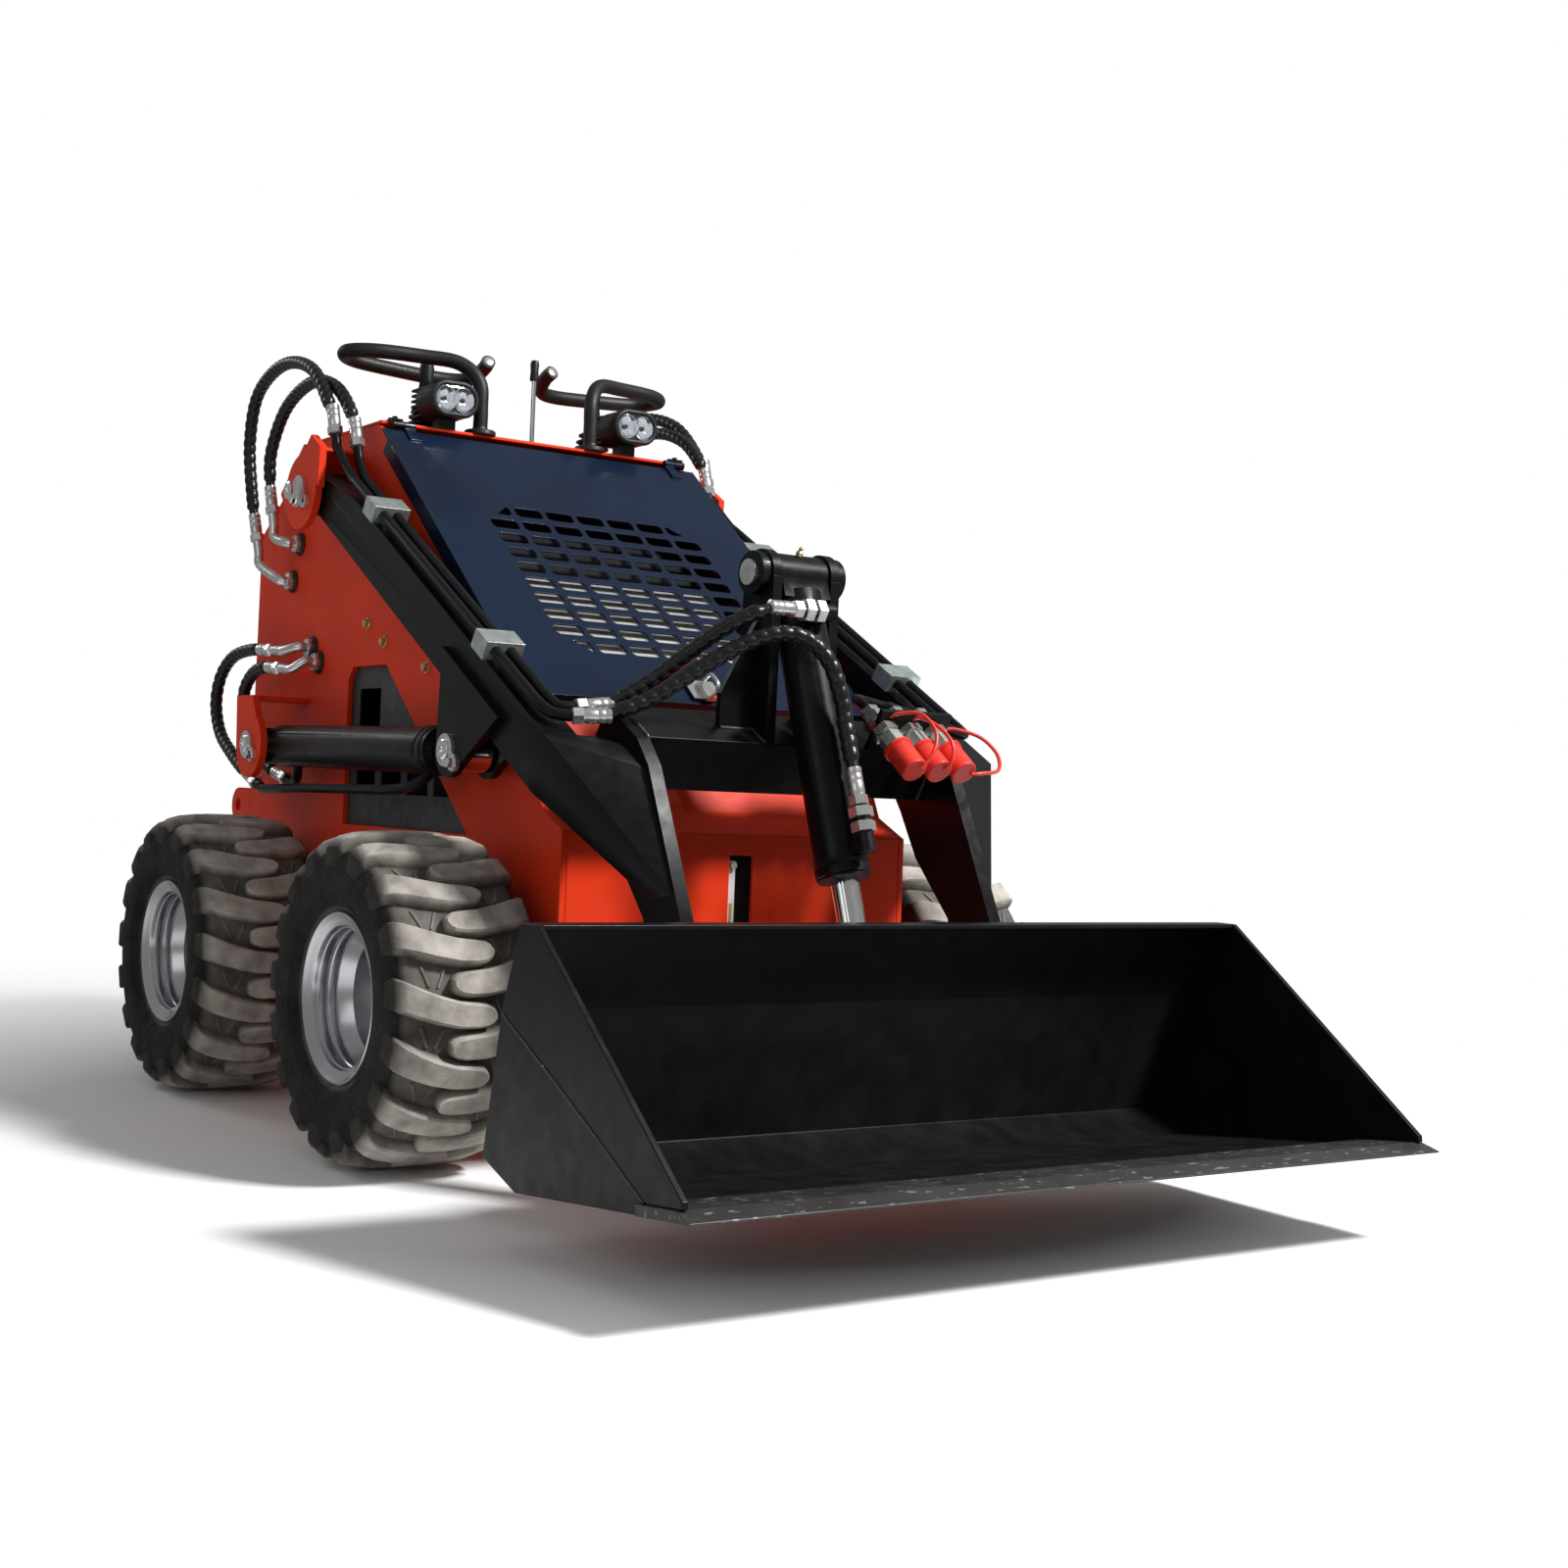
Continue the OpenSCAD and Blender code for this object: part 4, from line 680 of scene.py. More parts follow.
LUG_SWEEP = 32
LUG_REACH = 108
LUG_CURVE = 1.7
# Tie bars between lugs: width and how much it leans, start and end along the tread
TIE_BARS = ((64, 5, -15, 13), (42, -5, -10, 16))
TIE_SECTION = np.array([[-2.6, -1.5], [-1.4, 2.4], [1.4, 2.4], [2.6, -1.5]])
# Dust on the carcass inside and outside this width, on a lug's crown, shoulder and foot, on a tie bar
DUSTY_HALF, DUST_TREAD, DUST_WALL = 95, 0.28, 0.02
CROWN_R, SHOULDER_R = 218, 208
DUST_CROWN, DUST_SHOULDER, DUST_FOOT, DUST_TIE = 0.95, 0.5, 0.06, 0.4


def around(w, r, a, centre, out):
    """Point at width w and radius r, turned a from straight ahead and upwards about the axle."""
    w, r, a = np.broadcast_arrays(w, r, a)
    return centre + MM * np.stack([out * w, -r * np.cos(a), r * np.sin(a)], -1)


def swept(w):
    """How far a lug at width w lies back from its nose, along the tread."""
    return LUG_SWEEP * np.clip(w / LUG_REACH, 0, 1) ** LUG_CURVE


def tie_bar(wide, lean, start, end):
    """A low ridge between lugs: width wide + lean t, t from -1 to 1 along it, above the carcass."""
    t = np.linspace(-1, 1, 4)[:, None]
    w = wide + lean * t + TIE_SECTION[:, 0]
    r = np.interp(w, TREAD[:, 0], TREAD[:, 1]) + TIE_SECTION[:, 1]
    along = (start + end) / 2 + (end - start) / 2 * t + swept(wide)
    return np.broadcast_arrays(w, r, along)


def lugged_tyre(label, centre, out):
    """Carcass: (w, r) profile turned about the axle. Lug k on side s: at station i the angle is
    a_k + swept(w_i) / R +- half width / R, between a base line under the carcass and the lug's top
    line, with the nose narrowed to a round end past the tread's middle."""
    profile = np.vstack([CARCASS, (CARCASS * (-1, 1))[-2::-1]])
    a = np.linspace(0, TAU, TYRE_SIDES, endpoint=False)
    surfaces = [grid(around(profile[:, :1], profile[:, 1:], a[None], centre, out), wrap_v=True)]
    dust = [np.repeat(np.where(np.abs(profile[:, 0]) < DUSTY_HALF, DUST_TREAD, DUST_WALL), TYRE_SIDES)]
    low, edge, flat = LUG_HALF + LUG_FOOT, LUG_HALF, LUG_HALF - LUG_BEVEL
    across = np.stack([-low, -edge, -flat, flat, edge, low], 1) + swept(LUG_TOP[:, 0])[:, None]
    shoulder = LUG_TOP - (LUG_TUCK, LUG_BEVEL)
    w, r = np.stack([LUG_BASE, shoulder, LUG_TOP, LUG_TOP, shoulder, LUG_BASE], 1).transpose(2, 0, 1)
    lug_dust = np.where(r > CROWN_R, DUST_CROWN, np.where(r > SHOULDER_R, DUST_SHOULDER, DUST_FOOT))
    ridges = [(0, w, r, across, lug_dust)]
    ridges += [(0.5, *tie_bar(*bar), np.full((4, 4), DUST_TIE)) for bar in TIE_BARS]
    for s, phase in ((1, 0.0), (-1, 0.5)):
        for k in range(LUGS):
            for shift, wide, high, along, weight in ridges:
                angle = (k + phase + shift) * TAU / LUGS + along / TYRE_R
                surfaces.append(grid(around(s * wide, high, angle, centre, out), wrap_v=True, caps=True))
                dust.append(weight.ravel())
    piece(f"tyre_{label}_lugged", surfaces, "tyre_rubber", label + "_wheel", ["tyre_" + label], 32,
          np.concatenate(dust))


# Rim profile, [radius, out along the axle]: tyre seat, outer lip, two rolled steps, well, disc and hub
RIM = np.array([
    [115.5, -93], [115.5, -88], [101.5, -85], [101.5, -49], [85.5, -31], [85.5, 31], [101.5, 49], [101.5, 85],
    [115.5, 88], [116.6, 90], [117, 92], [116.2, 94], [114.5, 94.8], [112.6, 94], [110.4, 92], [106, 90.2],
    [100.4, 88], [98, 86.6], [96.9, 84.6], [96.5, 81], [95.9, 79.6], [94.6, 78.8], [94.2, 77.5], [94.6, 76.2],
    [95.9, 75.4], [96.5, 74], [96.5, 65], [95.9, 63.2], [94.4, 62], [93.8, 60], [94.4, 58], [95.9, 56.8],
    [96.3, 55], [96.3, 50], [95.2, 47.4], [82, 33], [80.8, 31.4], [80.5, 29], [80.5, -20], [79, -23.5],
    [75.5, -25], [34, -25], [33, -24], [20.05, -24], [20.05, -56], [62, -56], [62, -35], [80.5, -35],
    [96.5, -49], [96.5, -85], [110.5, -93]])
RIM_DISC = -0.025
NUT_CIRCLE = 0.048
HUB = [[0.026, 0], [0.026, 0.012], [0.022, 0.016], [0.008, 0.019]]


def wheel(label, centre, out):
    """Tyre, rim, nuts and hub of a wheel whose outside faces along out."""
    lugged_tyre(label, centre, out)
    facing = (out, 0, 0)
    body = label + "_wheel"
    rim = set_on(lathe(RIM * MM, 96, closed=True), centre, facing)
    piece(f"rim_{label}_turned", [rim], "rim_silver", body, ["rim_" + label], 28)
    disc = centre + np.array([out * RIM_DISC, 0, 0])
    a = np.linspace(0, TAU, 6, endpoint=False)
    ring = disc + NUT_CIRCLE * np.column_stack([0 * a, np.cos(a), np.sin(a)])
    surfaces = hex_heads(ring, facing, 0.019, 0.016, 0.013) + [set_on(lathe(HUB, 32), disc, facing)]
    piece(f"wheel_nuts_{label}", surfaces, "zinc", body)


for end, axle in (("front", AXLE), ("rear", REAR_AXLE)):
    for side, out in (("right", -1), ("left", 1)):
        wheel(f"{end}_{side}", axle * (-out, 1, 1), out)


# Lamps: two mirrored bowls with a dark chip each, behind a clear cover in a round-ended bezel

LAMP = (178, 439.8, 1161)
BOWL_X = (-0.0170, 0.0170)
# [radius, height, share of the petal's swell] in millimetres
BOWL = np.array([[20.5, 0, 0], [20.5, 7.6, 0], [19.6, 7.6, 0], [17.5, 5.6, 0.5], [13, 3.2, 1], [8, 1.6, 0.7],
                 [3.4, 1.0, 0]])
PETAL = 1.6
CHIP = [[0.0036, 0.0010], [0.0036, 0.0034], [0.0024, 0.0042], [0.0004, 0.0044]]
BEZEL_SIZE = (0.0800, 0.0520)
BEZEL_R = 0.0046
BEZEL_OUT = (0, -0.0070, 0)
COVER_SIZE = (0.0740, 0.0460)
COVER_ROWS = ((1, -0.0083), (1, -0.0093), (0.94, -0.0101), (0.5, -0.0108))


def stadium(width, height, count=40):
    """Round-ended outline: two half circles of the height's diameter, a straight apart."""
    a = np.linspace(0, TAU, count, endpoint=False)
    shift = np.sign(np.cos(a)) * (width - height) / 2
    return np.column_stack([height / 2 * np.cos(a) + shift, height / 2 * np.sin(a)])


def petal_bowl():
    """P(i, a) = (r_i cos a, r_i sin a, h_i + petal w_i |cos 2a|): a bowl whose wall swells in four petals."""
    r, h, w = (MM * BOWL).T[..., None]
    a = np.linspace(0, TAU, 48, endpoint=False)
    swell = PETAL * w * np.abs(np.cos(2 * a))
    P = np.stack(np.broadcast_arrays(r * np.cos(a), r * np.sin(a), h + swell), -1)
    return grid(P, wrap_v=True, caps=True)


def bezel(oval, r, centre):
    """P(i, a) = oval_i + r (cos a n_i + sin a y): a tube round the outline, n_i being its outward normal."""
    run = np.roll(oval, -1, 0) - np.roll(oval, 1, 0)
    normal = np.column_stack([run[:, 1], -run[:, 0]]) / np.linalg.norm(run, axis=1, keepdims=True)
    a = np.linspace(0, TAU, 12, endpoint=False)
    flat = oval[:, None] + r * np.cos(a)[:, None] * normal[:, None]
    P = np.stack(np.broadcast_arrays(flat[..., 0], r * np.sin(a), flat[..., 1]), -1)
    return grid(P + centre, wrap_u=True, wrap_v=True)


def lamp_cover(oval, centre):
    """Rows k_i oval at depth y_i, closed at both ends."""
    rows = [np.column_stack([oval[:, 0] * k, np.full(len(oval), y), oval[:, 1] * k]) for k, y in COVER_ROWS]
    return grid(np.stack(rows) + centre, wrap_v=True, caps=True)


for side, to_side in SIDES:
    front = at(to_side(LAMP))
    places = [front + (x, 0, 0) for x in BOWL_X]
    bowls = set_on(petal_bowl(), places, FORWARD)
    piece(f"lamp_bowls_{side}", [bowls], "lamp_mirror", "chassis", ["lamp_lenses"], 20)
    piece(f"lamp_chips_{side}", [set_on(lathe(CHIP, 16), places, FORWARD)], "black_plastic", "chassis")
    rim = bezel(stadium(*BEZEL_SIZE), BEZEL_R, front + BEZEL_OUT)
    piece(f"lamp_bezel_{side}", [rim], "black_plastic", "chassis", sharp=60)
    piece(f"lamp_cover_{side}", [lamp_cover(stadium(*COVER_SIZE), front)], "lamp_glass", "chassis")


# CAD pieces with softened edges: look, bevel width in millimetres, nodes

DRESSED = (
    ("red_paint", 2.0, "side_plate_right side_plate_left belly_pan front_panel rear_panel top_deck "
     "pivot_ears tie_down_eyes"),
    ("navy_paint", 0.9, "hood_panel"),
    ("black_paint", 2.2, "arm_right arm_left cross_tube tilt_tower attach_plate"),
    ("black_paint", 1.4, "bucket_shell bucket_sides coupler_bracket operator_platform hood_hinges "
     "tilt_barrel lift_barrel_right lift_barrel_left"),
    ("worn_steel", 1.2, "cutting_edge"),
    ("bright_rod", 1.2, "lift_rod_right lift_rod_left tilt_rod"),
    ("zinc", 1.0, "pivot_pins arm_pins"),
    ("dark_steel", 1.2, "side_covers engine hydraulic_tank wheel_motors"),
    ("cooler_fins", 0.6, "oil_cooler"),
    ("black_plastic", 1.6, "instrument_panel lamp_bodies"),
    ("red_plastic", 2.0, "coupler_caps"),
    ("clamp_zinc", 1.5, "pipe_clamps"),
)
for look, width, names in DRESSED:
    for node in names.split():
        softened(node, look, width)


# Bolts, and the pins' outer ends with their retainers' bolts

SIDE_BOLTS = [[SIDE_X, 470, 781], [SIDE_X, 404, 748], [SIDE_X, 249, 702], [SIDE_X, 174, 639]]
bolts = []
for _, to_side in SIDES:
    bolts += hex_heads(at(to_side(SIDE_BOLTS)), to_side(OUTWARD), 0.013, 0.008, 0.010)
piece("side_bolts", bolts, "yellow_zinc", "chassis")
PIN_FACES = {"chassis": [[418, *ARM_PIVOT], [414, 697, 578]], "lift_arms": [[399, -11, 572]]}
RETAINER_BOLT = (0, -26, -18)
pin_end = lathe([[0.0150, 0], [0.0150, 0.003], [0.0125, 0.005], [0.0060, 0.005], [0.0050, 0.002],
                 [0.0005, 0.002]], 32)
for body, faces in PIN_FACES.items():
    bolts = []
    for _, to_side in SIDES:
        bolts += hex_heads(at(to_side(faces) + RETAINER_BOLT), to_side(OUTWARD), 0.014, 0.009, 0.011)
        bolts.append(set_on(pin_end, at(to_side(faces)), to_side(OUTWARD)))
    piece(f"retainer_bolts_{body}", bolts, "chrome", body)


# Small things on the chassis

CORNERS = ((0, 0), (1, 0), (1, 1), (0, 1))


def box_of(x, y, z):
    """A block between pairs of limits in millimetres."""
    return plate([[y[i], z[j]] for i, j in CORNERS], *x)


def hood_block(x, s, h):
    """A block between limits across, down and above the hood, in millimetres."""
    return plate([hood_point(s[i], h[j]) for i, j in CORNERS], *x)


FRONT_Y = -175
piece("gauge_glass", [box_of((-19, -7), (FRONT_Y + 5, FRONT_Y + 9), (228, 432))], "gauge_white", "chassis")
piece("gauge_oil", [box_of((-15, -11), (FRONT_Y + 4, FRONT_Y + 5.5), (236, 372))], "gauge_oil", "chassis")
gauge_ends = at([[-13, FRONT_Y + 5, z] for z in (234, 426)])
piece("gauge_bolts", hex_heads(gauge_ends, FORWARD, 0.011, 0.006), "zinc", "chassis")
# Painted shade: a black sheet and lip under the hood behind the upper grille rows, standing in for the shadow
# seen through them
grille_shade_blocks = [hood_block((-250, 250), (96, 329), (-56, -51)), hood_block((-250, 250), (324, 329), (-80, -51))]
piece("grille_shade_sheet", grille_shade_blocks, "black_plastic", "chassis")
grommet = lathe([[0.012, 0], [0.020, 0], [0.021, 0.002], [0.018, 0.006], [0.012, 0.007]], 28, closed=True)
wall_holes = [[SIDE_X, y, z] for _, y, z in ELBOWS]
grommets = [set_on(grommet, at(to_side(wall_holes)), to_side(OUTWARD)) for _, to_side in SIDES]
piece("wall_grommets", grommets, "black_plastic", "chassis")


# Levers: a thin gear lever and two joysticks, each a bright stem with a moulded grip

LEVER = (20, 520, DECK_TOP)
JOYSTICK = (168, 562, DECK_TOP)
LEVER_GRIP = [[0.0045, 0.119], [0.0075, 0.120], [0.0080, 0.124], [0.0070, 0.135], [0.0078, 0.150],
              [0.0060, 0.155], [0.002, 0.156]]
STICK_GRIP = [[0.006, 0.078], [0.012, 0.080], [0.013, 0.086], [0.0115, 0.100], [0.0128, 0.120],
              [0.011, 0.129], [0.004, 0.132]]
# Bellows folds: outer radius and height, then each fold's own steps in and up
FOLDS = ((0.034, 0.011), (0.031, 0.023), (0.028, 0.035), (0.024, 0.047))
FOLD = ((0.008, -0.005), (0, -0.001), (0, 0.002))
folds = [[r - dr, h + dh] for r, h in FOLDS for dr, dh in FOLD]
bellows = lathe([[0.036, 0], [0.036, 0.003], *folds, [0.014, 0.054], [0.0055, 0.060]], 32)
lever_at = at(LEVER)
stick_at = [at(to_side(JOYSTICK)) for _, to_side in SIDES]
stems = [set_on(lathe([[0.004, 0], [0.004, 0.121]], 16), lever_at, UP),
         set_on(lathe([[0.005, 0.012], [0.005, 0.080]], 16), stick_at, UP)]
piece("lever_stems", stems, "chrome", "chassis", ["control_levers"])
grips = [set_on(lathe(LEVER_GRIP, 24), lever_at, UP), set_on(bellows, stick_at, UP),
         set_on(lathe(STICK_GRIP, 28), stick_at, UP)]
piece("lever_grips", grips, "black_plastic", "chassis")


# Instrument panel: two dials with needles, a key switch, a stop button and a row of switches

PANEL_EDGE = (720, 1108)
PANEL_SLOPE = math.atan2(150, 230)
PANEL_H = 14.1
DIAL_X = (-62, 62)
DIAL_U = 96
SWITCH_X = (-110, -76, -42, -8)
SWITCH_U = 168
BUTTON_X = 140
BUTTON_U = 90
NEEDLE_H = 6.4
NEEDLE_R = [[0.0016], [0.0012], [0.0005]]
DIAL_RING = [[0.001, 0], [0.036, 0], [0.036, 0.006], [0.034, 0.008], [0.031, 0.008], [0.029, 0.004],
             [0.001, 0.004]]
DIAL_FACE = [[0.029, 0.0041], [0.0285, 0.0050], [0.0005, 0.0050]]
SWITCH = [[0.011, 0], [0.011, 0.004], [0.008, 0.005], [0.008, 0.012], [0.006, 0.014], [0.0005, 0.0145]]
STOP = [[0.013, 0], [0.013, 0.010], [0.020, 0.012], [0.021, 0.018], [0.017, 0.023], [0.008, 0.0255],
        [0.0005, 0.026]]
KEY = [[0.013, 0], [0.013, 0.004], [0.010, 0.008], [0.005, 0.008], [0.005, 0.020], [0.0045, 0.022],
       [0.0005, 0.0225]]


def panel_point(x, u, h=PANEL_H):
    """A point u down the rear slope of the deck and h above its sheet, in millimetres."""
    along, rise = math.cos(PANEL_SLOPE), math.sin(PANEL_SLOPE)
    return at([x, PANEL_EDGE[0] + u * along + h * rise, PANEL_EDGE[1] - u * rise + h * along])


def needle(x):
    """A tapered pointer from just behind the dial's middle out to its scale."""
    path = [panel_point(x + t * 17, DIAL_U - t * 15, PANEL_H + NEEDLE_H) for t in (-0.2, 0.4, 1.0)]
    return sweep(np.array(path), NEEDLE_R, 8)


panel_up = panel_point(0, 0, 1) - panel_point(0, 0, 0)
dials = [panel_point(x, DIAL_U) for x in DIAL_X]
rings = [set_on(lathe(DIAL_RING, 48), dials, panel_up),
         set_on(lathe(SWITCH, 24), [panel_point(x, SWITCH_U) for x in SWITCH_X], panel_up)]
piece("dial_rings", rings, "black_plastic", "chassis")
piece("dial_faces", [set_on(lathe(DIAL_FACE, 48), dials, panel_up)], "gauge_white", "chassis")
stop = set_on(lathe(STOP, 36), panel_point(BUTTON_X, BUTTON_U), panel_up)
piece("stop_button", [stop, *(needle(x) for x in DIAL_X)], "red_plastic", "chassis")
key = set_on(lathe(KEY, 28), panel_point(-BUTTON_X, BUTTON_U), panel_up)
piece("key_switch", [key], "chrome", "chassis")


# Hood latch and hinge bolts

LATCH_LOOP = [[0, 684, 8], [0, 690, 20], [0, 682, 32], [0, 660, 30], [0, 652, 14]]
HINGE_BOLTS = [[276, HOOD_HINGE[0] + dy, DECK_TOP + 3] for dy in (12, 28)]
latch = [hood_block((-26, 26), (640, 682), (0.2, 2.2)), hood_block((-9, 9), (650, 688), (2.2, 9)),
         tube(laid(hood_point, LATCH_LOOP), 0.003, 0.003, 10)]
piece("hood_latch", latch, "zinc", "hood")
bolts = []
for _, to_side in SIDES:
    bolts += hex_heads(at(to_side(HINGE_BOLTS)), UP, 0.008, 0.005, 0.006)
piece("hinge_bolts", bolts, "black_paint", "chassis")


# Coupler pipes from the left arm's pipes, couplers with their nuts, cap rims and tethers

COUPLER_X = (134, 179, 224)
# Feed pipes: points on the arm, then on the coupler's line
FEEDS = (
    ([[345, 800.5, PIPE_H], [345, 822, PIPE_H], [322, 838, 86], [240, 838, 104], [160, 836, 118],
      [136, 850, 126]],
     [[134, -40, 0], [134, -20, 0]]),
    ([[368, 800.5, PIPE_H], [368, 834, PIPE_H], [344, 860, 88], [270, 862, 106], [200, 858, 120],
      [181, 868, 127]],
     [[179, -36, 0], [179, -20, 0]]),
)
TETHERS = (
    [[239, 3, 0], [262, 8, 8], [292, 32, 14], [304, 64, 10], [286, 96, 6], [250, 103, 4], [236, 101, 0]],
    [[179, 3, 15], [184, 14, 28], [190, 46, 38], [194, 78, 36], [190, 98, 22], [183, 102, 6]],
    [[134, 3, 15], [146, 10, 30], [164, 30, 46], [168, 66, 44], [156, 92, 28], [140, 102, 6]],
)
TETHER_D = 0.0054
COUPLER = [[0.0100, -0.020], [0.0130, -0.019], [0.0130, 0.062], [0.0115, 0.066]]
SLEEVE = [[0.0131, 0.024], [0.0168, 0.0255], [0.0168, 0.0480], [0.0131, 0.0495]]
PIPE_NUT = [[0.0085, 0], [0.0135, 0.001], [0.0135, 0.015], [0.0085, 0.0165]]
BACK_NUT = [[0.0131, 0], [0.0190, 0.001], [0.0190, 0.013], [0.0131, 0.0145]]
CAP_RIM = [[0.0185, 0], [0.0212, 0.001], [0.0212, 0.006], [0.0185, 0.007]]
TETHER_RING = [[0.0131, 0], [0.0155, 0.0006], [0.0155, 0.0042], [0.0131, 0.0048]]


def on_couplers(surface, *along):
    """The surface on every coupler, at each way along it in millimetres."""
    places = at(laid(coupler_point, [[x, s, 0] for x in COUPLER_X for s in along]))
    return set_on(surface, places, heading(coupler_point))


feeds = [tube(laid(arm_point, arm) + laid(coupler_point, end), 0.005, PIPE_R) for arm, end in FEEDS]
piece("coupler_pipes", feeds, "black_paint", "lift_arms", sharp=60)
bodies = [on_couplers(lathe(COUPLER, 40), 0), on_couplers(lathe(SLEEVE, 6, closed=True), 0)]
piece("coupler_bodies", bodies, "clamp_zinc", "lift_arms", ["aux_couplers"], 25)
nuts = [on_couplers(lathe(PIPE_NUT, 6), -34), on_couplers(lathe(BACK_NUT, 6, closed=True), -19, 9)]
piece("coupler_nuts", nuts, "zinc", "lift_arms", sharp=25)
piece("cap_rims", [on_couplers(lathe(CAP_RIM, 36, closed=True), 50)], "red_plastic", "lift_arms")
piece("tether_rings", [on_couplers(lathe(TETHER_RING, 28, closed=True), 1)], "red_plastic", "lift_arms")
for k, route in enumerate(TETHERS):
    path, run = smooth_route(at(laid(coupler_point, route)), 0.003)
    strap = sweep(path, TETHER_D / 2, 10)
    made = piece(f"cap_tether_{k + 1}", [strap], "red_plastic", "lift_arms", sharp=60)


# Nuts on the tilt cylinder's ports, its grease nipple, and gland rings at the barrels' open ends

PORT_NUT = [[0.0121, 0], [0.0165, 0.001], [0.0165, 0.014], [0.0121, 0.015]]
NIPPLE = [[0.004, 0], [0.005, 0.001], [0.005, 0.006], [0.0025, 0.008], [0.0032, 0.012], [0.001, 0.0135]]
GLAND = [[0.0351, 0], [0.0368, 0.001], [0.0368, 0.012], [0.0356, 0.0135], [0.0368, 0.015], [0.0368, 0.026],
         [0.0351, 0.0275]]
LIFT_GLAND = (356, 110, 572.8)
LIFT_AXIS = (0, -1, -0.0085)
port_nut = lathe(PORT_NUT, 6, closed=True)
gland = lathe(GLAND, 48, closed=True)
down = heading(tilt_point)
nuts = [set_on(port_nut, at(laid(tilt_point, [[-39, 75, 55], [-20, 75, 55]])), OUTWARD),
        set_on(port_nut, at(laid(tilt_point, [[0, 351, 57], [0, 371, 57]])), down)]
piece("tilt_port_nuts", nuts, "zinc", "tilt_cylinder_barrel", sharp=25)
nipple_way = [0, *(tilt_point(-20, 20) - tilt_point(0, 0))]
nipple = set_on(lathe(NIPPLE, 12), at(laid(tilt_point, [[0, -22, 21]])), nipple_way)
piece("grease_nipple", [nipple], "yellow_zinc", "tilt_cylinder_barrel")
tilt_gland = set_on(gland, at(laid(tilt_point, [[0, 404, 0]])), down)
piece("tilt_gland", [tilt_gland], "black_paint", "tilt_cylinder_barrel")
for side, to_side in SIDES:
    lift_gland = set_on(gland, at(to_side(LIFT_GLAND)), LIFT_AXIS)
    piece(f"lift_gland_{side}", [lift_gland], "black_paint", f"{side}_lift_barrel")


# Weld beads

BEAD_R = 0.0030
BEAD_STEP = 0.001
RIPPLE = 0.18
RIPPLE_PITCH = 0.004
# Seams on the arm: the tower's plates, the cross tube's end and the tower's web
ARM_SEAMS = (
    [[42, 841, 88], [42, 924, 88]],
    [[57, 841, 88], [57, 924, 88]],
    [[248, 842, 88], [248, 925, 88], [248, 925, 10]],
    [[58, 888, 88], [112, 888, 88]],
)
BUCKET_SEAM = [[565, -507, 269], [565, -614, 218], [565, -718, 166], [565, -809, 118]]
BUCKET_BEAD_R = 0.0016


def weld(route, radius):
    """A bead along straight runs between points, r(s) = radius (1 + ripple sin(2 pi s / pitch))."""
    points = at(route)
    length = np.linalg.norm(np.diff(points, axis=0), axis=1).sum()
    path, run = evenly(points, int(length / BEAD_STEP) + 2)
    return sweep(path, (radius * (1 + RIPPLE * np.sin(TAU * run / RIPPLE_PITCH)))[:, None], 8)


seams = [weld(to_side(laid(arm_point, seam)), BEAD_R) for _, to_side in SIDES for seam in ARM_SEAMS]
piece("arm_welds", seams, "weld_bead", "lift_arms", sharp=60)
seams = [weld(to_side(BUCKET_SEAM), BUCKET_BEAD_R) for _, to_side in SIDES]
piece("bucket_seams", seams, "weld_bead", "attachment", sharp=60)


# Floor and light

FLOOR_HALF = 3
FLOOR_Z = -0.0005
FLOOR_NEAR = 0.9
FLOOR_FAR = 2.6
WORLD_DIFFUSE = 0.30
WORLD_GLOSSY = 0.26
# Panel: place, what it faces, size, power
PANELS = (
    ("key", (2.3, -3.6, 4.7), (0, -0.2, 0.4), 0.9, 560),
    ("fill", (-4.5, -2.0, 2.2), (0, 0, 0.5), 2.5, 16),
    ("rim", (-2.4, 4.6, 3.6), (0, 0.2, 0.7), 1.6, 30),
)


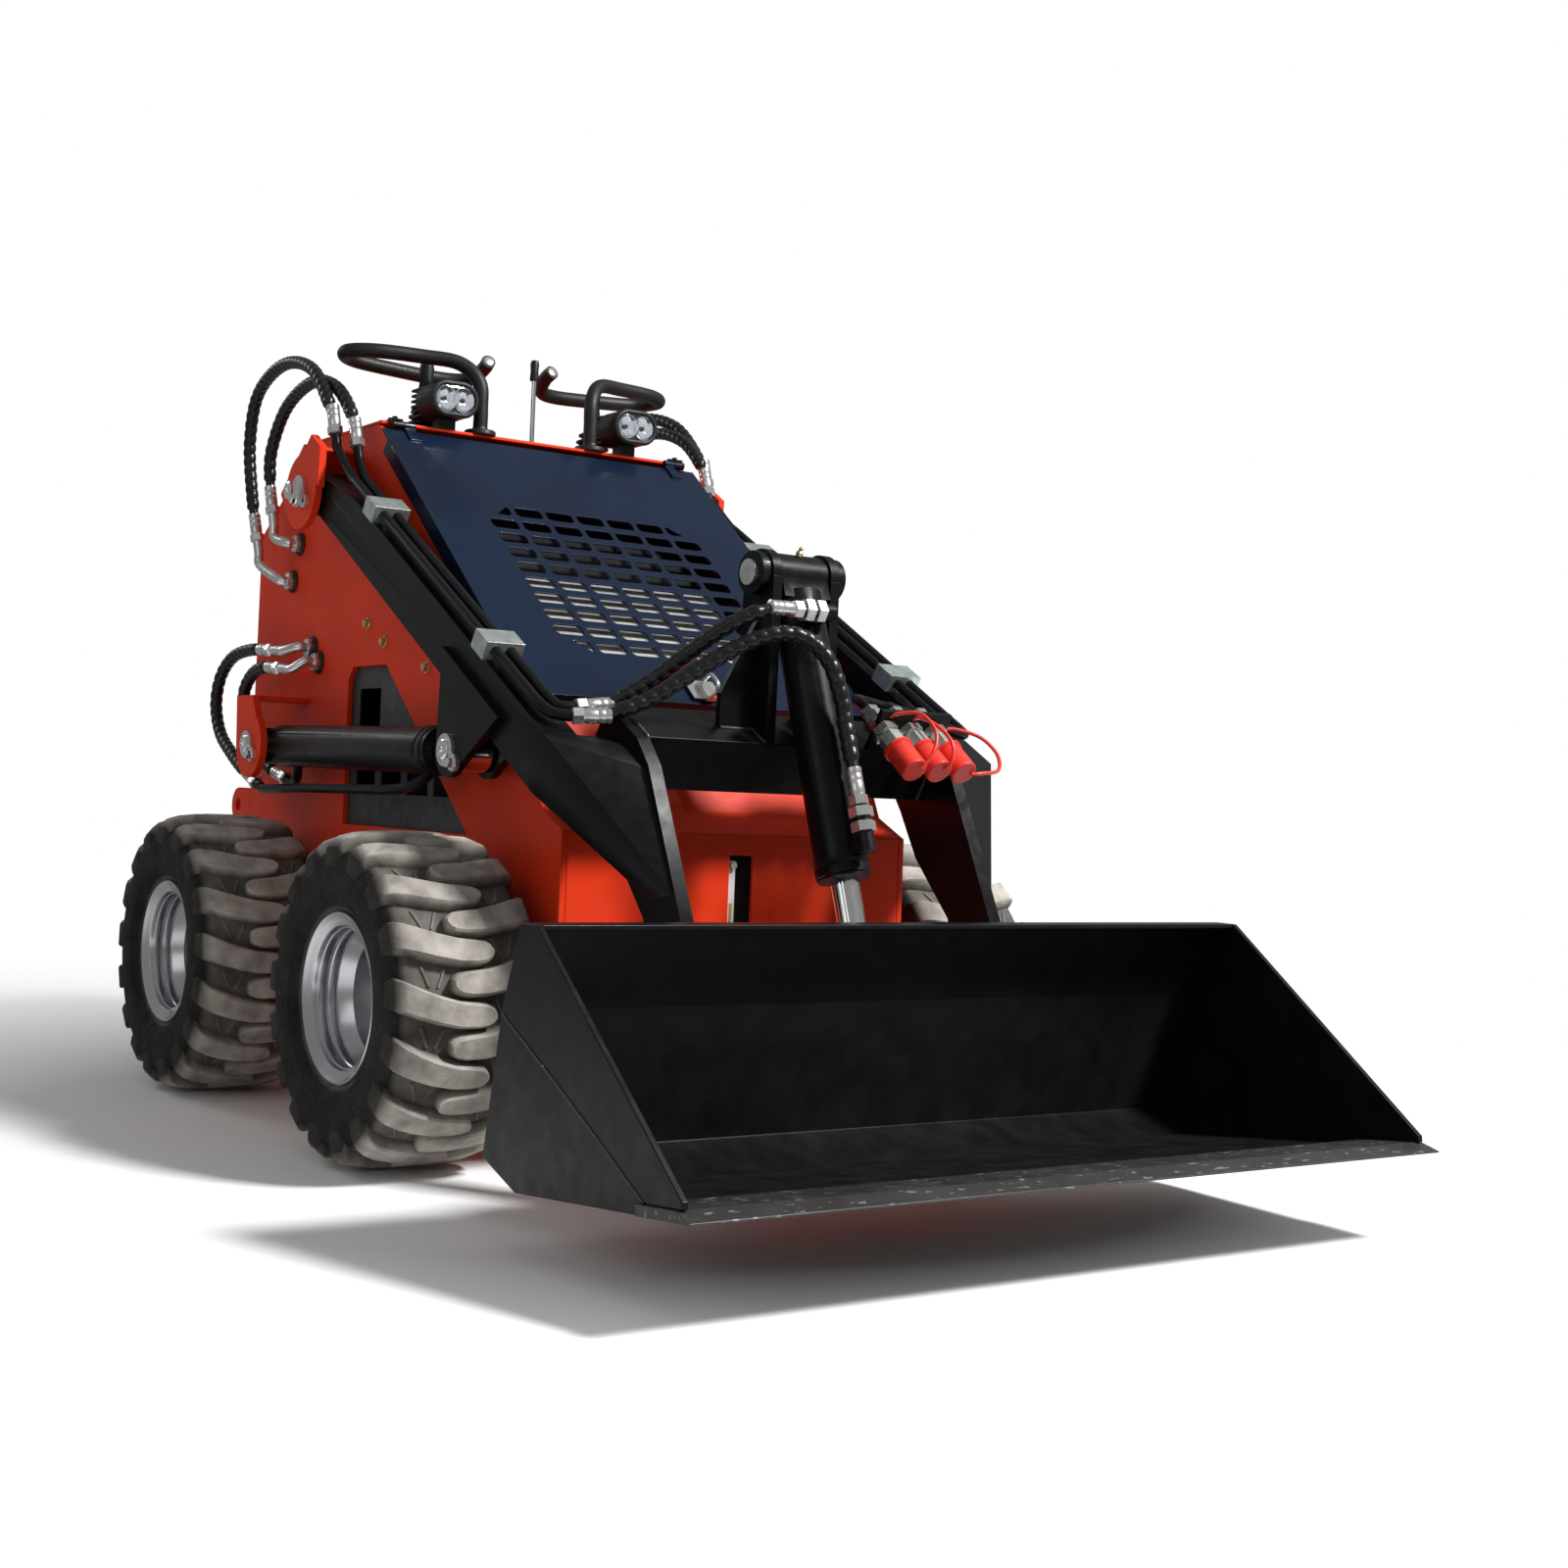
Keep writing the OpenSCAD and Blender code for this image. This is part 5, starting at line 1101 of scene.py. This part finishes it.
def faded_floor():
    """Pale floor that thins out to the backdrop: whole within FLOOR_NEAR of the middle, gone at FLOOR_FAR."""
    material = finish("floor_pale", (0.90, 0.90, 0.90), 0.75, mottle=0.01)
    tree = material.node_tree
    place = tree.nodes.new("ShaderNodeTexCoord")
    length = tree.nodes.new("ShaderNodeVectorMath")
    length.operation = "LENGTH"
    tree.links.new(place.outputs["Object"], length.inputs[0])
    mix = tree.nodes.new("ShaderNodeMixShader")
    tree.links.new(ranged(tree, length.outputs["Value"], FLOOR_NEAR, FLOOR_FAR, 0, 1), mix.inputs[0])
    tree.links.new(tree.nodes["Principled BSDF"].outputs[0], mix.inputs[1])
    tree.links.new(tree.nodes.new("ShaderNodeBsdfTransparent").outputs[0], mix.inputs[2])
    tree.links.new(mix.outputs[0], tree.nodes["Material Output"].inputs["Surface"])
    return material


def studio():
    """A pale floor, a white backdrop for the camera, a dimmer world for light, and soft panels."""
    mesh = bpy.data.meshes.new("floor")
    corners = [((2 * i - 1) * FLOOR_HALF, (2 * j - 1) * FLOOR_HALF, 0) for i, j in CORNERS]
    mesh.from_pydata(corners, [], [(0, 1, 2, 3)])
    floor = bpy.data.objects.new("floor", mesh)
    floor.location.z = FLOOR_Z
    bpy.context.scene.collection.objects.link(floor)
    mesh.materials.append(faded_floor())
    world = bpy.data.worlds.new("studio")
    world.use_nodes = True
    tree = world.node_tree
    sky = tree.nodes["Background"]
    sky.inputs["Color"].default_value = (1, 1, 1, 1)
    light = tree.nodes.new("ShaderNodeLightPath").outputs
    seen = combined(tree, "MAXIMUM", light["Is Camera Ray"], light["Is Transmission Ray"])
    dim = ranged(tree, light["Is Glossy Ray"], 0, 1, WORLD_DIFFUSE, WORLD_GLOSSY)
    tree.links.new(combined(tree, "MAXIMUM", dim, seen), sky.inputs["Strength"])
    bpy.context.scene.world = world
    for name, place, aim, size, power in PANELS:
        data = bpy.data.lights.new(name, "AREA")
        data.energy = power
        data.size = size
        lamp = bpy.data.objects.new(name, data)
        turn = np.eye(4)
        turn[:3, :3] = axes_along(np.array(place, float) - np.array(aim, float))
        turn[:3, 3] = place
        lamp.matrix_world = Matrix(turn.tolist())
        bpy.context.scene.collection.objects.link(lamp)
    bpy.context.scene.view_settings.view_transform = "Standard"


studio()
